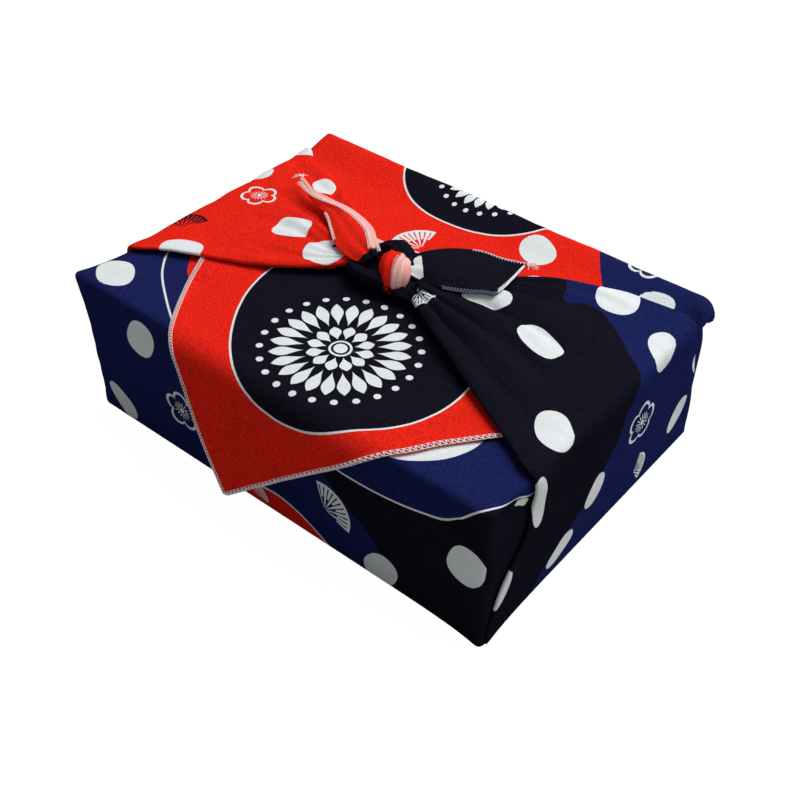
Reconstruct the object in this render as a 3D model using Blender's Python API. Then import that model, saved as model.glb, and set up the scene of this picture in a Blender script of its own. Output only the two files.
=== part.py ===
"""A furoshiki, a square wrapping cloth, tied round a flat gift box.

The cloth is one piece of work and one solid: its skin lies round the box, its back corner comes over
the top and hangs down the front, and its left and right corners are drawn up over the ends, folded
under along their borders, gathered and tied in a square knot on top, with both ends left free.
Metres, +Z up. The origin is the centre of the parcel's base, +X runs along its long side, and the
hanging corner is on the -Y side.
"""

import math

import bmesh
import bpy
import numpy as np

# Driving dimensions of the wrapped parcel
LENGTH = 0.270
WIDTH = 0.194
HEIGHT = 0.089
CLOTH = 0.0012
LAYER_GAP = 0.0006

# The skin: the layer that lies next to the box
SKIN_X = LENGTH / 2 - CLOTH - LAYER_GAP
SKIN_Y = WIDTH / 2
SKIN_TOP = HEIGHT - CLOTH - LAYER_GAP
EDGE_RADIUS = 0.0035
CORNER_RADIUS = 0.0040
CORNER_STEPS = 4
EDGE_STEPS = 3
LONG_STEPS = 12
SHORT_STEPS = 15
WALL_ROWS = (0.15, 0.4, 0.65, 0.78, 0.86, 0.93)
SHARPEST = 0.0008
BASE_INSETS = (0.040, 0.012)

# The tucked layer under the back corner stops at this opening, which the corner covers
TUCK_X = 0.100
TUCK_FRONT_Y = -0.020
TUCK_BACK_Y = 0.070
TUCK_RADIUS = 0.010
TUCK_ROWS = (0.5, 1.0)

# The gift box inside
BOX_END_CLEARANCE = 0.0045
BOX_SIDE_CLEARANCE = 0.0020
BOX_REST_GAP = 0.0003
BOX_BEVEL = 0.0010

# The hollow under the front right corner's tuck: its middle on the end wall, its reach and its depth
HOLLOW_Y = -0.081
HOLLOW_Z = 0.077
HOLLOW_REACH_Y = 0.012
HOLLOW_REACH_Z = 0.008
HOLLOW_DEPTH = 0.0035

# How far the top stands off the box towards its back edge, and over which y and which z it does so
BILLOW = 0.0055
BILLOW_Y = (0.068, 0.098)
BILLOW_Z = (0.060, 0.084)
# Corners that the cloth is drawn out to. Columns: x, y, z, reach, and the way out there (x, y, z)
PULLS = (
    (-0.1332, -0.0970, 0.0872, 0.0220, -0.0052, -0.0028, 0.0042),
    (0.1332, -0.0970, 0.0000, 0.0130, 0.0026, -0.0032, 0.0000),
)

# The back corner, which hangs down the front
HANG = 0.0583
# Its hems. Columns: length up from the tip, x
LEFT_HEM = (
    (0.0000, -0.0139),
    (0.0243, -0.0350),
    (0.0421, -0.0466),
    (0.0581, -0.0563),
    (0.0739, -0.0684),
    (0.0967, -0.0834),
    (0.1236, -0.0981),
    (0.1800, -0.1302),
)
RIGHT_HEM = (
    (0.0000, -0.0109),
    (0.0358, 0.0325),
    (0.0576, 0.0600),
    (0.0737, 0.0785),
    (0.0903, 0.0896),
    (0.1132, 0.1077),
    (0.1420, 0.1302),
)
BEND_RADIUS = 0.012
BEND_ANGLE = math.radians(78)
BEND_START_Y = -0.0918
BEND_STEPS = 5
FLAP_COLUMNS = 16
BACK_BEND = 0.0045
BACK_SINK = 0.0003
# Where its rows lie: shares of the hanging length, y on the top, and height and depth on the back wall
HANG_ROWS = (0, 0.12, 0.3, 0.5, 0.75)
TOP_ROWS = (-0.070, -0.045, -0.015, 0.015, 0.045, 0.068, 0.076, 0.084)
BACK_ROWS = ((0.045, 0.0), (0.012, 0.0), (0.005, 0.0007))

# The knot's middle, and the height of its strands over the parcel
KNOT_Z = HEIGHT

# The side corners over the top. Columns: x, y of the front border, y of the back one, height over the parcel
LEFT_BAND = (
    (-0.118, -0.0547, 0.0670, 0.0004),
    (-0.104, -0.0478, 0.0625, 0.0008),
    (-0.088, -0.0405, 0.0555, 0.0014),
    (-0.072, -0.0335, 0.0470, 0.0022),
    (-0.057, -0.0262, 0.0370, 0.0030),
    (-0.044, -0.0170, 0.0260, 0.0038),
    (-0.034, -0.0085, 0.0165, 0.0046),
    (-0.027, -0.0025, 0.0100, 0.0050),
)
RIGHT_BAND = (
    (0.118, -0.0600, 0.0760, 0.0006),
    (0.102, -0.0515, 0.0740, 0.0014),
    (0.084, -0.0425, 0.0680, 0.0026),
    (0.066, -0.0335, 0.0590, 0.0036),
    (0.049, -0.0240, 0.0460, 0.0044),
    (0.035, -0.0165, 0.0330, 0.0050),
    (0.023, -0.0100, 0.0210, 0.0054),
    (0.013, -0.0050, 0.0110, 0.0056),
)

# The side corners on the end walls, which are rooted in the skin's walls at this depth under its face
ROOT_DEPTH = 0.0007
# Columns: height, y of the front border, y of the back one
LEFT_RISE = (
    (0.004, -0.0935, 0.0935),
    (0.011, -0.0910, 0.0920),
    (0.030, -0.0860, 0.0895),
    (0.050, -0.0770, 0.0855),
    (0.070, -0.0670, 0.0800),
    (HEIGHT, -0.0625, 0.0755),
)
RIGHT_RISE = (
    (0.004, -0.0935, 0.0935),
    (0.011, -0.0920, 0.0925),
    (0.026, -0.0885, 0.0905),
    (0.042, -0.0800, 0.0875),
    (0.053, -0.0700, 0.0850),
    (0.070, -0.0665, 0.0805),
    (HEIGHT, -0.0660, 0.0765),
)

# Folds drawn towards the knot. Columns: place across the band from 0 at its front border to 1 at its
# back one, half width, height near the knot, height at the end of the parcel
LEFT_FOLDS = (
    (0.02, 0.05, 0.0008, 0.0006),
    (0.30, 0.10, 0.0012, 0.0002),
    (0.56, 0.09, 0.0026, 0.0004),
    (0.82, 0.07, 0.0024, 0.0003),
    (0.97, 0.05, 0.0012, 0.0010),
)
RIGHT_FOLDS = (
    (0.04, 0.06, 0.0018, 0.0016),
    (0.22, 0.08, 0.0036, 0.0006),
    (0.42, 0.08, 0.0026, 0.0003),
    (0.66, 0.10, 0.0042, 0.0006),
    (0.96, 0.06, 0.0018, 0.0012),
)
# The share of the way to the knot over which folds grow, and how steeply
FOLDS_GROWN = 0.6
FOLDS_POWER = 1.5
BAND_COLUMNS = 25
BAND_BEND = 0.0050
BAND_ARCH = 0.0040
FREE_ROW = 3

# The knot's strands. Columns: x, y, height over the parcel, the way the strand's flat side faces (x, y, z),
# half width, half thickness
LEFT_STRAND = (
    (-0.0440, 0.0080, 0.0046, 0.0, 0.0, -1.0, 0.0100, 0.0030),
    (-0.0330, 0.0062, 0.0056, 0.0, 0.0, -1.0, 0.0082, 0.0036),
    (-0.0220, 0.0030, 0.0056, 0.0, 0.1, -1.0, 0.0066, 0.0036),
    (-0.0125, 0.0002, 0.0036, 0.0, 0.0, -1.0, 0.0052, 0.0034),
    (-0.0035, -0.0030, 0.0036, 0.2, -0.4, -0.9, 0.0050, 0.0034),
    (0.0026, -0.0048, 0.0066, 0.6, -0.8, -0.3, 0.0060, 0.0036),
    (0.0030, -0.0040, 0.0118, 0.4, -0.9, 0.2, 0.0074, 0.0038),
    (0.0008, -0.0005, 0.0158, 0.2, -0.4, 0.9, 0.0080, 0.0038),
    (-0.0026, 0.0050, 0.0160, 0.1, 0.5, 0.8, 0.0070, 0.0036),
    (-0.0074, 0.0092, 0.0124, 0.0, 0.4, 0.9, 0.0056, 0.0034),
    (-0.0136, 0.0112, 0.0098, -0.1, 0.1, 1.0, 0.0052, 0.0032),
    (-0.0205, 0.0125, 0.0108, -0.3, 0.1, 1.0, 0.0052, 0.0030),
    (-0.0285, 0.0135, 0.0116, -0.1, 0.1, 1.0, 0.0050, 0.0012),
)
RIGHT_STRAND = (
    (0.0300, 0.0050, 0.0060, 0.0, 0.0, -1.0, 0.0100, 0.0028),
    (0.0200, 0.0015, 0.0058, 0.0, 0.0, -1.0, 0.0080, 0.0034),
    (0.0110, -0.0012, 0.0056, 0.0, 0.0, -1.0, 0.0068, 0.0034),
    (0.0020, -0.0030, 0.0066, 0.0, -0.1, -1.0, 0.0062, 0.0036),
    (-0.0065, -0.0060, 0.0080, 0.0, -0.5, -0.9, 0.0060, 0.0038),
    (-0.0150, -0.0072, 0.0070, -0.2, -0.6, -0.8, 0.0058, 0.0038),
    (-0.0230, -0.0038, 0.0050, -0.6, -0.4, -0.8, 0.0056, 0.0038),
    (-0.0262, 0.0030, 0.0044, -0.7, 0.1, -0.7, 0.0054, 0.0038),
    (-0.0232, 0.0095, 0.0066, -0.8, 0.5, -0.2, 0.0056, 0.0036),
    (-0.0176, 0.0130, 0.0112, -0.7, 0.4, 0.5, 0.0060, 0.0036),
    (-0.0112, 0.0146, 0.0148, -0.1, 0.3, 1.0, 0.0066, 0.0038),
    (-0.0050, 0.0140, 0.0132, 0.4, 0.2, 0.9, 0.0062, 0.0036),
    (0.0000, 0.0128, 0.0098, 0.5, 0.1, 0.9, 0.0056, 0.0032),
    (0.0055, 0.0125, 0.0082, 0.1, 0.0, 1.0, 0.0054, 0.0024),
    (0.0115, 0.0150, 0.0080, 0.0, 0.0, 1.0, 0.0050, 0.0010),
)

# The free ends. Columns: back border x, y, height, front border x, y, height, crown between them
LEFT_END = (
    (-0.0120, 0.0032, 0.0158, -0.0175, -0.0030, 0.0105, 0.0010),
    (-0.0230, 0.0128, 0.0146, -0.0270, -0.0040, 0.0100, 0.0026),
    (-0.0330, 0.0218, 0.0128, -0.0385, -0.0015, 0.0104, 0.0026),
    (-0.0440, 0.0272, 0.0120, -0.0505, 0.0075, 0.0104, 0.0022),
    (-0.0580, 0.0312, 0.0112, -0.0630, 0.0178, 0.0096, 0.0016),
    (-0.0725, 0.0318, 0.0108, -0.0732, 0.0232, 0.0088, 0.0010),
    (-0.0865, 0.0328, 0.0112, -0.0848, 0.0276, 0.0090, 0.0006),
    (-0.0985, 0.0372, 0.0124, -0.0990, 0.0350, 0.0118, 0.0000),
)
RIGHT_END = (
    (-0.0035, 0.0160, 0.0106, 0.0030, 0.0050, 0.0104, 0.0006),
    (-0.0030, 0.0215, 0.0104, 0.0115, 0.0058, 0.0092, 0.0026),
    (0.0010, 0.0310, 0.0098, 0.0228, 0.0080, 0.0084, 0.0046),
    (0.0085, 0.0400, 0.0094, 0.0330, 0.0138, 0.0078, 0.0048),
    (0.0205, 0.0475, 0.0090, 0.0425, 0.0200, 0.0078, 0.0034),
    (0.0325, 0.0500, 0.0086, 0.0485, 0.0262, 0.0078, 0.0018),
    (0.0445, 0.0545, 0.0084, 0.0460, 0.0525, 0.0084, 0.0000),
)
END_THICKNESS = 0.0016

CLOTH_COLOUR = (0.035, 0.045, 0.20, 1.0)
CLOTH_ROUGHNESS = 0.75
BOX_COLOUR = (0.62, 0.50, 0.36, 1.0)
BOX_ROUGHNESS = 0.8


def clear_scene():
    for old in list(bpy.data.objects):
        bpy.data.objects.remove(old, do_unlink=True)


def material(name, colour, roughness):
    made = bpy.data.materials.new(name)
    made.use_nodes = True
    shader = made.node_tree.nodes["Principled BSDF"]
    shader.inputs["Base Color"].default_value = colour
    shader.inputs["Roughness"].default_value = roughness
    shader.inputs["Metallic"].default_value = 0.0
    return made


def sheet(name, grid, thickness, offset=0.0, closed=False):
    """A sheet of cloth through a grid of points (rows, columns, xyz), thickened by a Solidify modifier.

    A closed sheet joins its last column to its first and is filled across its first row."""
    rows, columns = grid.shape[:2]
    faces = []
    for r in range(rows - 1):
        for c in range(columns if closed else columns - 1):
            d = (c + 1) % columns
            faces.append((r * columns + c, r * columns + d, (r + 1) * columns + d, (r + 1) * columns + c))
    if closed:
        faces.append(tuple(range(columns))[::-1])
    mesh = bpy.data.meshes.new(name)
    mesh.from_pydata(grid.reshape(-1, 3).tolist(), [], faces)
    mesh.update()
    made = bpy.data.objects.new(name, mesh)
    bpy.context.scene.collection.objects.link(made)
    solid = made.modifiers.new("thickness", "SOLIDIFY")
    solid.thickness = thickness
    solid.offset = offset
    solid.use_even_offset = True
    solid.use_quality_normals = True
    return made


def step(value, low, high):
    """0 below low, 1 above high, and a cubic step between."""
    t = np.clip((value - low) / (high - low), 0, 1)
    return t * t * (3 - 2 * t)


def puffed(points):
    """The places of these points with the billow of the top and the drawn out corners put in."""
    moved = points.copy()
    moved[..., 2] += BILLOW * step(points[..., 1], *BILLOW_Y) * step(points[..., 2], *BILLOW_Z)
    for x, y, z, reach, *out in PULLS:
        away = np.linalg.norm(points - (x, y, z), axis=-1, keepdims=True)
        moved += np.exp(-away / reach) * out
    return moved


def smooth_curve(table, samples):
    """A Catmull-Rom curve through the rows of a table, read at evenly spaced places."""
    rows = np.array(table, float)
    rows = np.vstack([2 * rows[0] - rows[1], rows, 2 * rows[-1] - rows[-2]])
    at = np.linspace(0, len(table) - 1, samples)
    k = np.minimum(at.astype(int), len(table) - 2)
    t = (at - k)[:, None]
    a, b, c, d = rows[k], rows[k + 1], rows[k + 2], rows[k + 3]
    return 0.5 * (
        2 * b
        + (c - a) * t
        + (2 * a - 5 * b + 4 * c - d) * t**2
        + (3 * b - a - 3 * c + d) * t**3
    )


def unit(vectors):
    return vectors / np.linalg.norm(vectors, axis=-1, keepdims=True)


def strand(name, table, samples=30, sides=10):
    """A strand of the knot: an oval section carried along its curve, turned as the table says."""
    rows = smooth_curve(table, samples)
    middle = rows[:, :3] + (0, 0, KNOT_Z)
    along = unit(np.gradient(middle, axis=0))
    across = unit(np.cross(along, rows[:, 3:6]))
    outward = np.cross(across, along)
    turn = np.linspace(0, 2 * math.pi, sides, endpoint=False)[None, :, None]
    rings = (
        middle[:, None]
        + across[:, None] * rows[:, None, 6:7] * np.cos(turn)
        + outward[:, None] * rows[:, None, 7:8] * np.sin(turn)
    )
    work = bmesh.new()
    loops = []
    for ring in rings:
        corners = [work.verts.new(point) for point in ring]
        loops.append([work.edges.new((a, b)) for a, b in zip(corners, corners[1:] + corners[:1])])
    for here, after in zip(loops, loops[1:]):
        bmesh.ops.bridge_loops(work, edges=here + after)
    bmesh.ops.holes_fill(work, edges=loops[0] + loops[-1], sides=sides)
    bmesh.ops.recalc_face_normals(work, faces=work.faces)
    mesh = bpy.data.meshes.new(name)
    work.to_mesh(mesh)
    work.free()
    made = bpy.data.objects.new(name, mesh)
    bpy.context.scene.collection.objects.link(made)
    return made


def perimeter(half_x, half_y, radius):
    """Points round a rectangle with round corners, anticlockwise from its front left."""
    points = []
    corners = (
        (1, -1, -90, LONG_STEPS),
        (1, 1, 0, SHORT_STEPS),
        (-1, 1, 90, LONG_STEPS),
        (-1, -1, 180, SHORT_STEPS),
    )
    start = np.array((-(half_x - radius), -half_y))
    for sx, sy, angle, steps in corners:
        centre = np.array((sx * (half_x - radius), sy * (half_y - radius)))
        turn = math.radians(angle)
        end = centre + radius * np.array((math.cos(turn), math.sin(turn)))
        points += [start + (end - start) * i / steps for i in range(steps)]
        for i in range(CORNER_STEPS):
            turn = math.radians(angle + 90 * i / CORNER_STEPS)
            points.append(centre + radius * np.array((math.cos(turn), math.sin(turn))))
        turn = math.radians(angle + 90)
        start = centre + radius * np.array((math.cos(turn), math.sin(turn)))
    return np.array(points)


def skin():
    """The layer next to the box: base, four walls and the tucked part of the top, open in its middle.

    Its rows run from under the base, up the walls and in over the top to the opening."""
    profile = [(inset, 0.0) for inset in BASE_INSETS]
    for i in range(EDGE_STEPS + 1):
        turn = math.pi / 2 * i / EDGE_STEPS
        profile.append((EDGE_RADIUS * (1 - math.sin(turn)), EDGE_RADIUS * (1 - math.cos(turn))))
    profile += [(0.0, SKIN_TOP * share) for share in WALL_ROWS]
    for i in range(EDGE_STEPS + 1):
        turn = math.pi / 2 * i / EDGE_STEPS
        profile.append((EDGE_RADIUS * (1 - math.cos(turn)), SKIN_TOP - EDGE_RADIUS * (1 - math.sin(turn))))
    rows = []
    for inset, height in profile:
        flat = perimeter(SKIN_X - inset, SKIN_Y - inset, max(CORNER_RADIUS - inset, SHARPEST))
        rows.append(np.column_stack([flat, np.full(len(flat), height)]))
    edge = rows[-1]
    flat = perimeter(TUCK_X, (TUCK_BACK_Y - TUCK_FRONT_Y) / 2, TUCK_RADIUS)
    flat[:, 1] += (TUCK_FRONT_Y + TUCK_BACK_Y) / 2
    opening = np.column_stack([flat, np.full(len(flat), SKIN_TOP)])
    rows += [edge + (opening - edge) * share for share in TUCK_ROWS]
    rows = np.array(rows)
    away_y = (rows[..., 1] - HOLLOW_Y) / HOLLOW_REACH_Y
    away_z = (rows[..., 2] - HOLLOW_Z) / HOLLOW_REACH_Z
    wall = rows[..., 0] > SKIN_X - EDGE_RADIUS
    rows[..., 0] -= np.where(wall, HOLLOW_DEPTH * np.exp(-(away_y**2) - away_z**2), 0.0)
    return sheet("skin", puffed(rows), CLOTH, offset=-1.0, closed=True)


def flap_profile():
    """The back corner's middle line from its tip: columns are the length from the tip, y and z."""
    middle = HEIGHT - CLOTH / 2
    end_y = BEND_START_Y - BEND_RADIUS * math.sin(BEND_ANGLE)
    end_z = middle - BEND_RADIUS * (1 - math.cos(BEND_ANGLE))
    rows = []
    for share in HANG_ROWS:
        left = HANG * (1 - share)
        rows.append((HANG - left, end_y - left * math.cos(BEND_ANGLE), end_z - left * math.sin(BEND_ANGLE)))
    for i in range(BEND_STEPS + 1):
        turn = BEND_ANGLE * (1 - i / BEND_STEPS)
        rows.append(
            (
                HANG + BEND_RADIUS * (BEND_ANGLE - turn),
                BEND_START_Y - BEND_RADIUS * math.sin(turn),
                middle - BEND_RADIUS * (1 - math.cos(turn)),
            )
        )
    bent = HANG + BEND_RADIUS * BEND_ANGLE
    back_y = SKIN_Y + CLOTH / 2 - BACK_SINK
    for y in TOP_ROWS + (back_y - BACK_BEND,):
        rows.append((bent + y - BEND_START_Y, y, middle))
    run = bent + back_y - BACK_BEND - BEND_START_Y
    for i in range(1, EDGE_STEPS + 1):
        turn = math.pi / 2 * i / EDGE_STEPS
        rows.append(
            (
                run + BACK_BEND * turn,
                back_y - BACK_BEND * (1 - math.sin(turn)),
                middle - BACK_BEND * (1 - math.cos(turn)),
            )
        )
    down = run + BACK_BEND * math.pi / 2
    for z, sunk in BACK_ROWS:
        rows.append((down + middle - BACK_BEND - z, back_y - sunk, z))
    return np.array(rows)


def back_corner():
    """The back corner of the cloth: up the back wall, over the top and down the front, where it hangs."""
    grid = []
    for run, y, z in flap_profile():
        left, right = (np.interp(run, *np.transpose(hem)) for hem in (LEFT_HEM, RIGHT_HEM))
        x = np.linspace(left, right, FLAP_COLUMNS)
        grid.append(np.column_stack([x, np.full_like(x, y), np.full_like(x, z)]))
    return sheet("back_corner", puffed(np.array(grid)), CLOTH)


def fold_heights(folds, across, drawn):
    """Height of the folds at a place across a band. Drawn is 0 at the parcel's end and 1 at the knot."""
    height = np.zeros_like(across)
    fade = max(drawn - FOLDS_GROWN, 0.0) / (1 - FOLDS_GROWN)
    grown = min(drawn / FOLDS_GROWN, 1.0) ** FOLDS_POWER * (1 - fade)
    for place, half_width, near_knot, at_end in folds:
        ridge = np.exp(-(((across - place) / half_width) ** 2))
        height += ridge * (at_end * (1 - drawn) + near_knot * grown)
    return height


def end_band(name, side, rise, table, folds):
    """A side corner of the cloth, drawn up over the end of the parcel and gathered towards the knot."""
    across = np.linspace(0, 1, BAND_COLUMNS)
    out = SKIN_X + LAYER_GAP + CLOTH / 2
    top = HEIGHT + LAYER_GAP + CLOTH / 2
    at_end = fold_heights(folds, across, 0.0)
    grid = []
    for i, (z, front, back) in enumerate(rise[:-1]):
        y = front + (back - front) * across
        x = (SKIN_X - ROOT_DEPTH if i == 0 else out) + at_end * min(i / FREE_ROW, 1.0)
        grid.append(np.column_stack([side * x, y, np.full_like(y, z)]))
    _, front, back = rise[-1]
    y = front + (back - front) * across
    for i in range(EDGE_STEPS + 1):
        turn = math.pi / 2 * i / EDGE_STEPS
        x = out - BAND_BEND + (BAND_BEND + at_end) * math.cos(turn)
        z = top - BAND_BEND + (BAND_BEND + at_end) * math.sin(turn)
        grid.append(np.column_stack([side * x, y, z]))
    for i, (x, front, back, lift) in enumerate(table):
        drawn = (i + 1) / len(table)
        y = front + (back - front) * across
        arch = BAND_ARCH * drawn**3 * np.sqrt(np.maximum(1 - (2 * across - 1) ** 2, 0))
        z = top + lift + arch + fold_heights(folds, across, drawn)
        grid.append(np.column_stack([np.full_like(y, x), y, z]))
    return sheet(name, puffed(np.array(grid)), CLOTH)


def free_end(name, table, rows=12, columns=7):
    """A free end of the cloth, lofted between its back and front borders and crowned between them."""
    curve = smooth_curve(table, rows)
    share = np.linspace(0, 1, columns)[None, :, None]
    back = (curve[:, :3] + (0, 0, KNOT_Z))[:, None]
    front = (curve[:, 3:6] + (0, 0, KNOT_Z))[:, None]
    grid = back + (front - back) * share
    grid[:, :, 2] += curve[:, 6:7] * np.sin(np.pi * share[0, :, 0])[None]
    return sheet(name, grid, END_THICKNESS)


def unite(whole, parts):
    """Join these overlapping solids to the whole, in one Boolean over a collection of their own."""
    folds = bpy.data.collections.new("cloth_layers")
    bpy.context.scene.collection.children.link(folds)
    for part in parts:
        bpy.context.scene.collection.objects.unlink(part)
        folds.objects.link(part)
        part.hide_render = True
        part.display_type = "WIRE"
    union = whole.modifiers.new("union", "BOOLEAN")
    union.operation = "UNION"
    union.solver = "EXACT"
    union.operand_type = "COLLECTION"
    union.collection = folds


def gift_box():
    """The plain box that the cloth is fitted over. It rests on the cloth's base layer."""
    half_x = SKIN_X - CLOTH - BOX_END_CLEARANCE
    half_y = SKIN_Y - CLOTH - BOX_SIDE_CLEARANCE
    base = CLOTH + BOX_REST_GAP
    top = SKIN_TOP - CLOTH - BOX_REST_GAP
    bpy.ops.mesh.primitive_cube_add(size=2)
    made = bpy.context.active_object
    made.name = "gift_box"
    for vertex in made.data.vertices:
        x, y, z = vertex.co
        vertex.co = (x * half_x, y * half_y, base if z < 0 else top)
    bevel = made.modifiers.new("bevel", "BEVEL")
    bevel.width = BOX_BEVEL
    bevel.segments = 2
    made.data.materials.append(material("card", BOX_COLOUR, BOX_ROUGHNESS))


def furoshiki():
    """The whole cloth: its skin, back corner, side corners, the knot's strands and the free ends."""
    cloth = skin()
    cloth.name = "furoshiki"
    layers = [
        back_corner(),
        end_band("left_band", -1, LEFT_RISE, LEFT_BAND, LEFT_FOLDS),
        end_band("right_band", 1, RIGHT_RISE, RIGHT_BAND, RIGHT_FOLDS),
        strand("left_strand", LEFT_STRAND),
        strand("right_strand", RIGHT_STRAND),
        free_end("left_end", LEFT_END),
        free_end("right_end", RIGHT_END),
    ]
    unite(cloth, layers)
    cloth.data.materials.append(material("cloth", CLOTH_COLOUR, CLOTH_ROUGHNESS))


def main():
    clear_scene()
    furoshiki()
    gift_box()


main()
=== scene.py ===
"""A furoshiki tied round a flat gift box: the cloth's printed layers, its knot, its free ends and its hems.

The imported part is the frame. Each layer of the cloth is a surface worked out on a grid, on the folds of
the solid that it stands for, and carries its print as distances to the edges of the coloured fields.
"""

import math

import bmesh
import bpy
import numpy as np
from mathutils import Matrix, Vector


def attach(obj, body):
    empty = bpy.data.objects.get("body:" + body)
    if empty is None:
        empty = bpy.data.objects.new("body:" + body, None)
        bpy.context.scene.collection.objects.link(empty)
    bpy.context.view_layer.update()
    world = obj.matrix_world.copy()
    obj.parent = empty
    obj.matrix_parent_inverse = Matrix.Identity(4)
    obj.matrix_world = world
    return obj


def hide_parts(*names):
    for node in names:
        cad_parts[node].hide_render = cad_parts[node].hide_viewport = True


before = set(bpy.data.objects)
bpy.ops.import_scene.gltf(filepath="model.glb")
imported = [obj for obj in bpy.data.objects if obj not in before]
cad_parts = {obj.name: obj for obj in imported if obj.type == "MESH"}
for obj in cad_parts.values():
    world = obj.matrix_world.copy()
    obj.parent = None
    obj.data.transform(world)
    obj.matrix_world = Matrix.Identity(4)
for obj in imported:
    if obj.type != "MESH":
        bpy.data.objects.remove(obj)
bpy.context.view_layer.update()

bl_info = {
    "name": "Furoshiki Wrap",
    "version": (1, 0, 0),
    "blender": (4, 5, 0),
    "location": "3D View > Sidebar > Furoshiki",
    "description": "A printed wrapping cloth tied round a flat gift box",
    "category": "Mesh",
}

MM = 0.001

# The parcel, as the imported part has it
LENGTH = 0.270
WIDTH = 0.194
HEIGHT = 0.089
CLOTH = 0.0012
LAYER_GAP = 0.0006
SKIN_X = LENGTH / 2 - CLOTH - LAYER_GAP
SKIN_Y = WIDTH / 2
SKIN_TOP = HEIGHT - CLOTH - LAYER_GAP
EDGE_RADIUS = 0.0035
CORNER_RADIUS = 0.0040
SHARPEST = 0.0008
HANG = 0.0583
BEND_RADIUS = 0.012
BEND_ANGLE = math.radians(78)
BEND_START_Y = -0.0918
BACK_BEND = 0.0045
BAND_BEND = 0.0050
BAND_OUT = SKIN_X + LAYER_GAP + CLOTH / 2
BAND_TOP = HEIGHT + LAYER_GAP + CLOTH / 2
# How far the top stands off the box towards its back edge
BILLOW = 0.0055
# Corners that the cloth is drawn out to. Columns: x, y, z, reach, and the way out there (x, y, z)
PULLS = (
    (-0.1332, -0.097, 0.0872, 0.022, -0.0052, -0.0028, 0.0042),
    (0.1332, -0.097, 0, 0.013, 0.0026, -0.0032, 0),
)
# The rolled end of the back corner's fold at the back right: where it starts, its radius, its length
ROLL_X = 0.1269
ROLL_RADIUS = 0.0075
ROLL_LENGTH = 0.0225

# The back corner's hems. Columns: length up from the tip, x
LEFT_HEM = (
    (0, -0.0139),
    (0.0243, -0.035),
    (0.0421, -0.0466),
    (0.0581, -0.0563),
    (0.0739, -0.0684),
    (0.0967, -0.0834),
    (0.1236, -0.0981),
    (0.18, -0.1302),
)
RIGHT_HEM = (
    (0, -0.0109),
    (0.0358, 0.0325),
    (0.0576, 0.06),
    (0.0737, 0.0785),
    (0.0903, 0.0896),
    (0.1132, 0.1077),
    (0.142, 0.1302),
)

# The side corners over the top. Columns: x, y of the front border, y of the back one, height over the parcel
LEFT_BAND = (
    (-0.118, -0.0547, 0.067, 0.0004),
    (-0.104, -0.0478, 0.0625, 0.0008),
    (-0.088, -0.0405, 0.0555, 0.0014),
    (-0.072, -0.0335, 0.047, 0.0022),
    (-0.057, -0.0262, 0.037, 0.003),
    (-0.044, -0.017, 0.026, 0.0038),
    (-0.034, -0.0085, 0.0165, 0.0046),
    (-0.027, -0.0025, 0.01, 0.005),
)
RIGHT_BAND = (
    (0.118, -0.06, 0.076, 0.0006),
    (0.102, -0.0515, 0.074, 0.0014),
    (0.084, -0.0425, 0.068, 0.0026),
    (0.066, -0.0335, 0.059, 0.0036),
    (0.049, -0.024, 0.046, 0.0044),
    (0.035, -0.0165, 0.033, 0.005),
    (0.023, -0.01, 0.021, 0.0054),
    (0.013, -0.005, 0.011, 0.0056),
)
# The side corners on the end walls. Columns: height, y of the front border, y of the back one
LEFT_RISE = (
    (0.004, -0.0935, 0.0935),
    (0.011, -0.091, 0.092),
    (0.03, -0.086, 0.0895),
    (0.05, -0.077, 0.0855),
    (0.07, -0.067, 0.08),
    (HEIGHT, -0.0625, 0.0755),
)
RIGHT_RISE = (
    (0.004, -0.0935, 0.0935),
    (0.011, -0.092, 0.0925),
    (0.026, -0.0885, 0.0905),
    (0.042, -0.08, 0.0875),
    (0.053, -0.07, 0.085),
    (0.07, -0.0665, 0.0805),
    (HEIGHT, -0.066, 0.0765),
)
# Folds drawn towards the knot. Columns: place across the band, half width, height near the knot, height at
# the parcel's end
LEFT_FOLDS = (
    (0.02, 0.05, 0.0008, 0.0006),
    (0.18, 0.03, -0.0005, -0.0001),
    (0.3, 0.1, 0.0012, 0.0002),
    (0.44, 0.03, -0.0006, -0.0001),
    (0.56, 0.09, 0.0026, 0.0004),
    (0.66, 0.026, -0.0012, -0.0002),
    (0.74, 0.03, 0.0009, 0.0002),
    (0.82, 0.07, 0.0024, 0.0003),
    (0.9, 0.026, -0.0009, -0.0002),
    (0.97, 0.05, 0.0012, 0.001),
)
RIGHT_FOLDS = (
    (0.04, 0.06, 0.0018, 0.0016),
    (0.13, 0.026, -0.0014, -0.0002),
    (0.22, 0.08, 0.0036, 0.0006),
    (0.32, 0.026, -0.0015, -0.0003),
    (0.42, 0.08, 0.0026, 0.0003),
    (0.52, 0.024, -0.0015, -0.0003),
    (0.66, 0.1, 0.0042, 0.0006),
    (0.79, 0.03, -0.0014, -0.0003),
    (0.88, 0.024, 0.0009, 0.0003),
    (0.96, 0.06, 0.0018, 0.0012),
)
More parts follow.
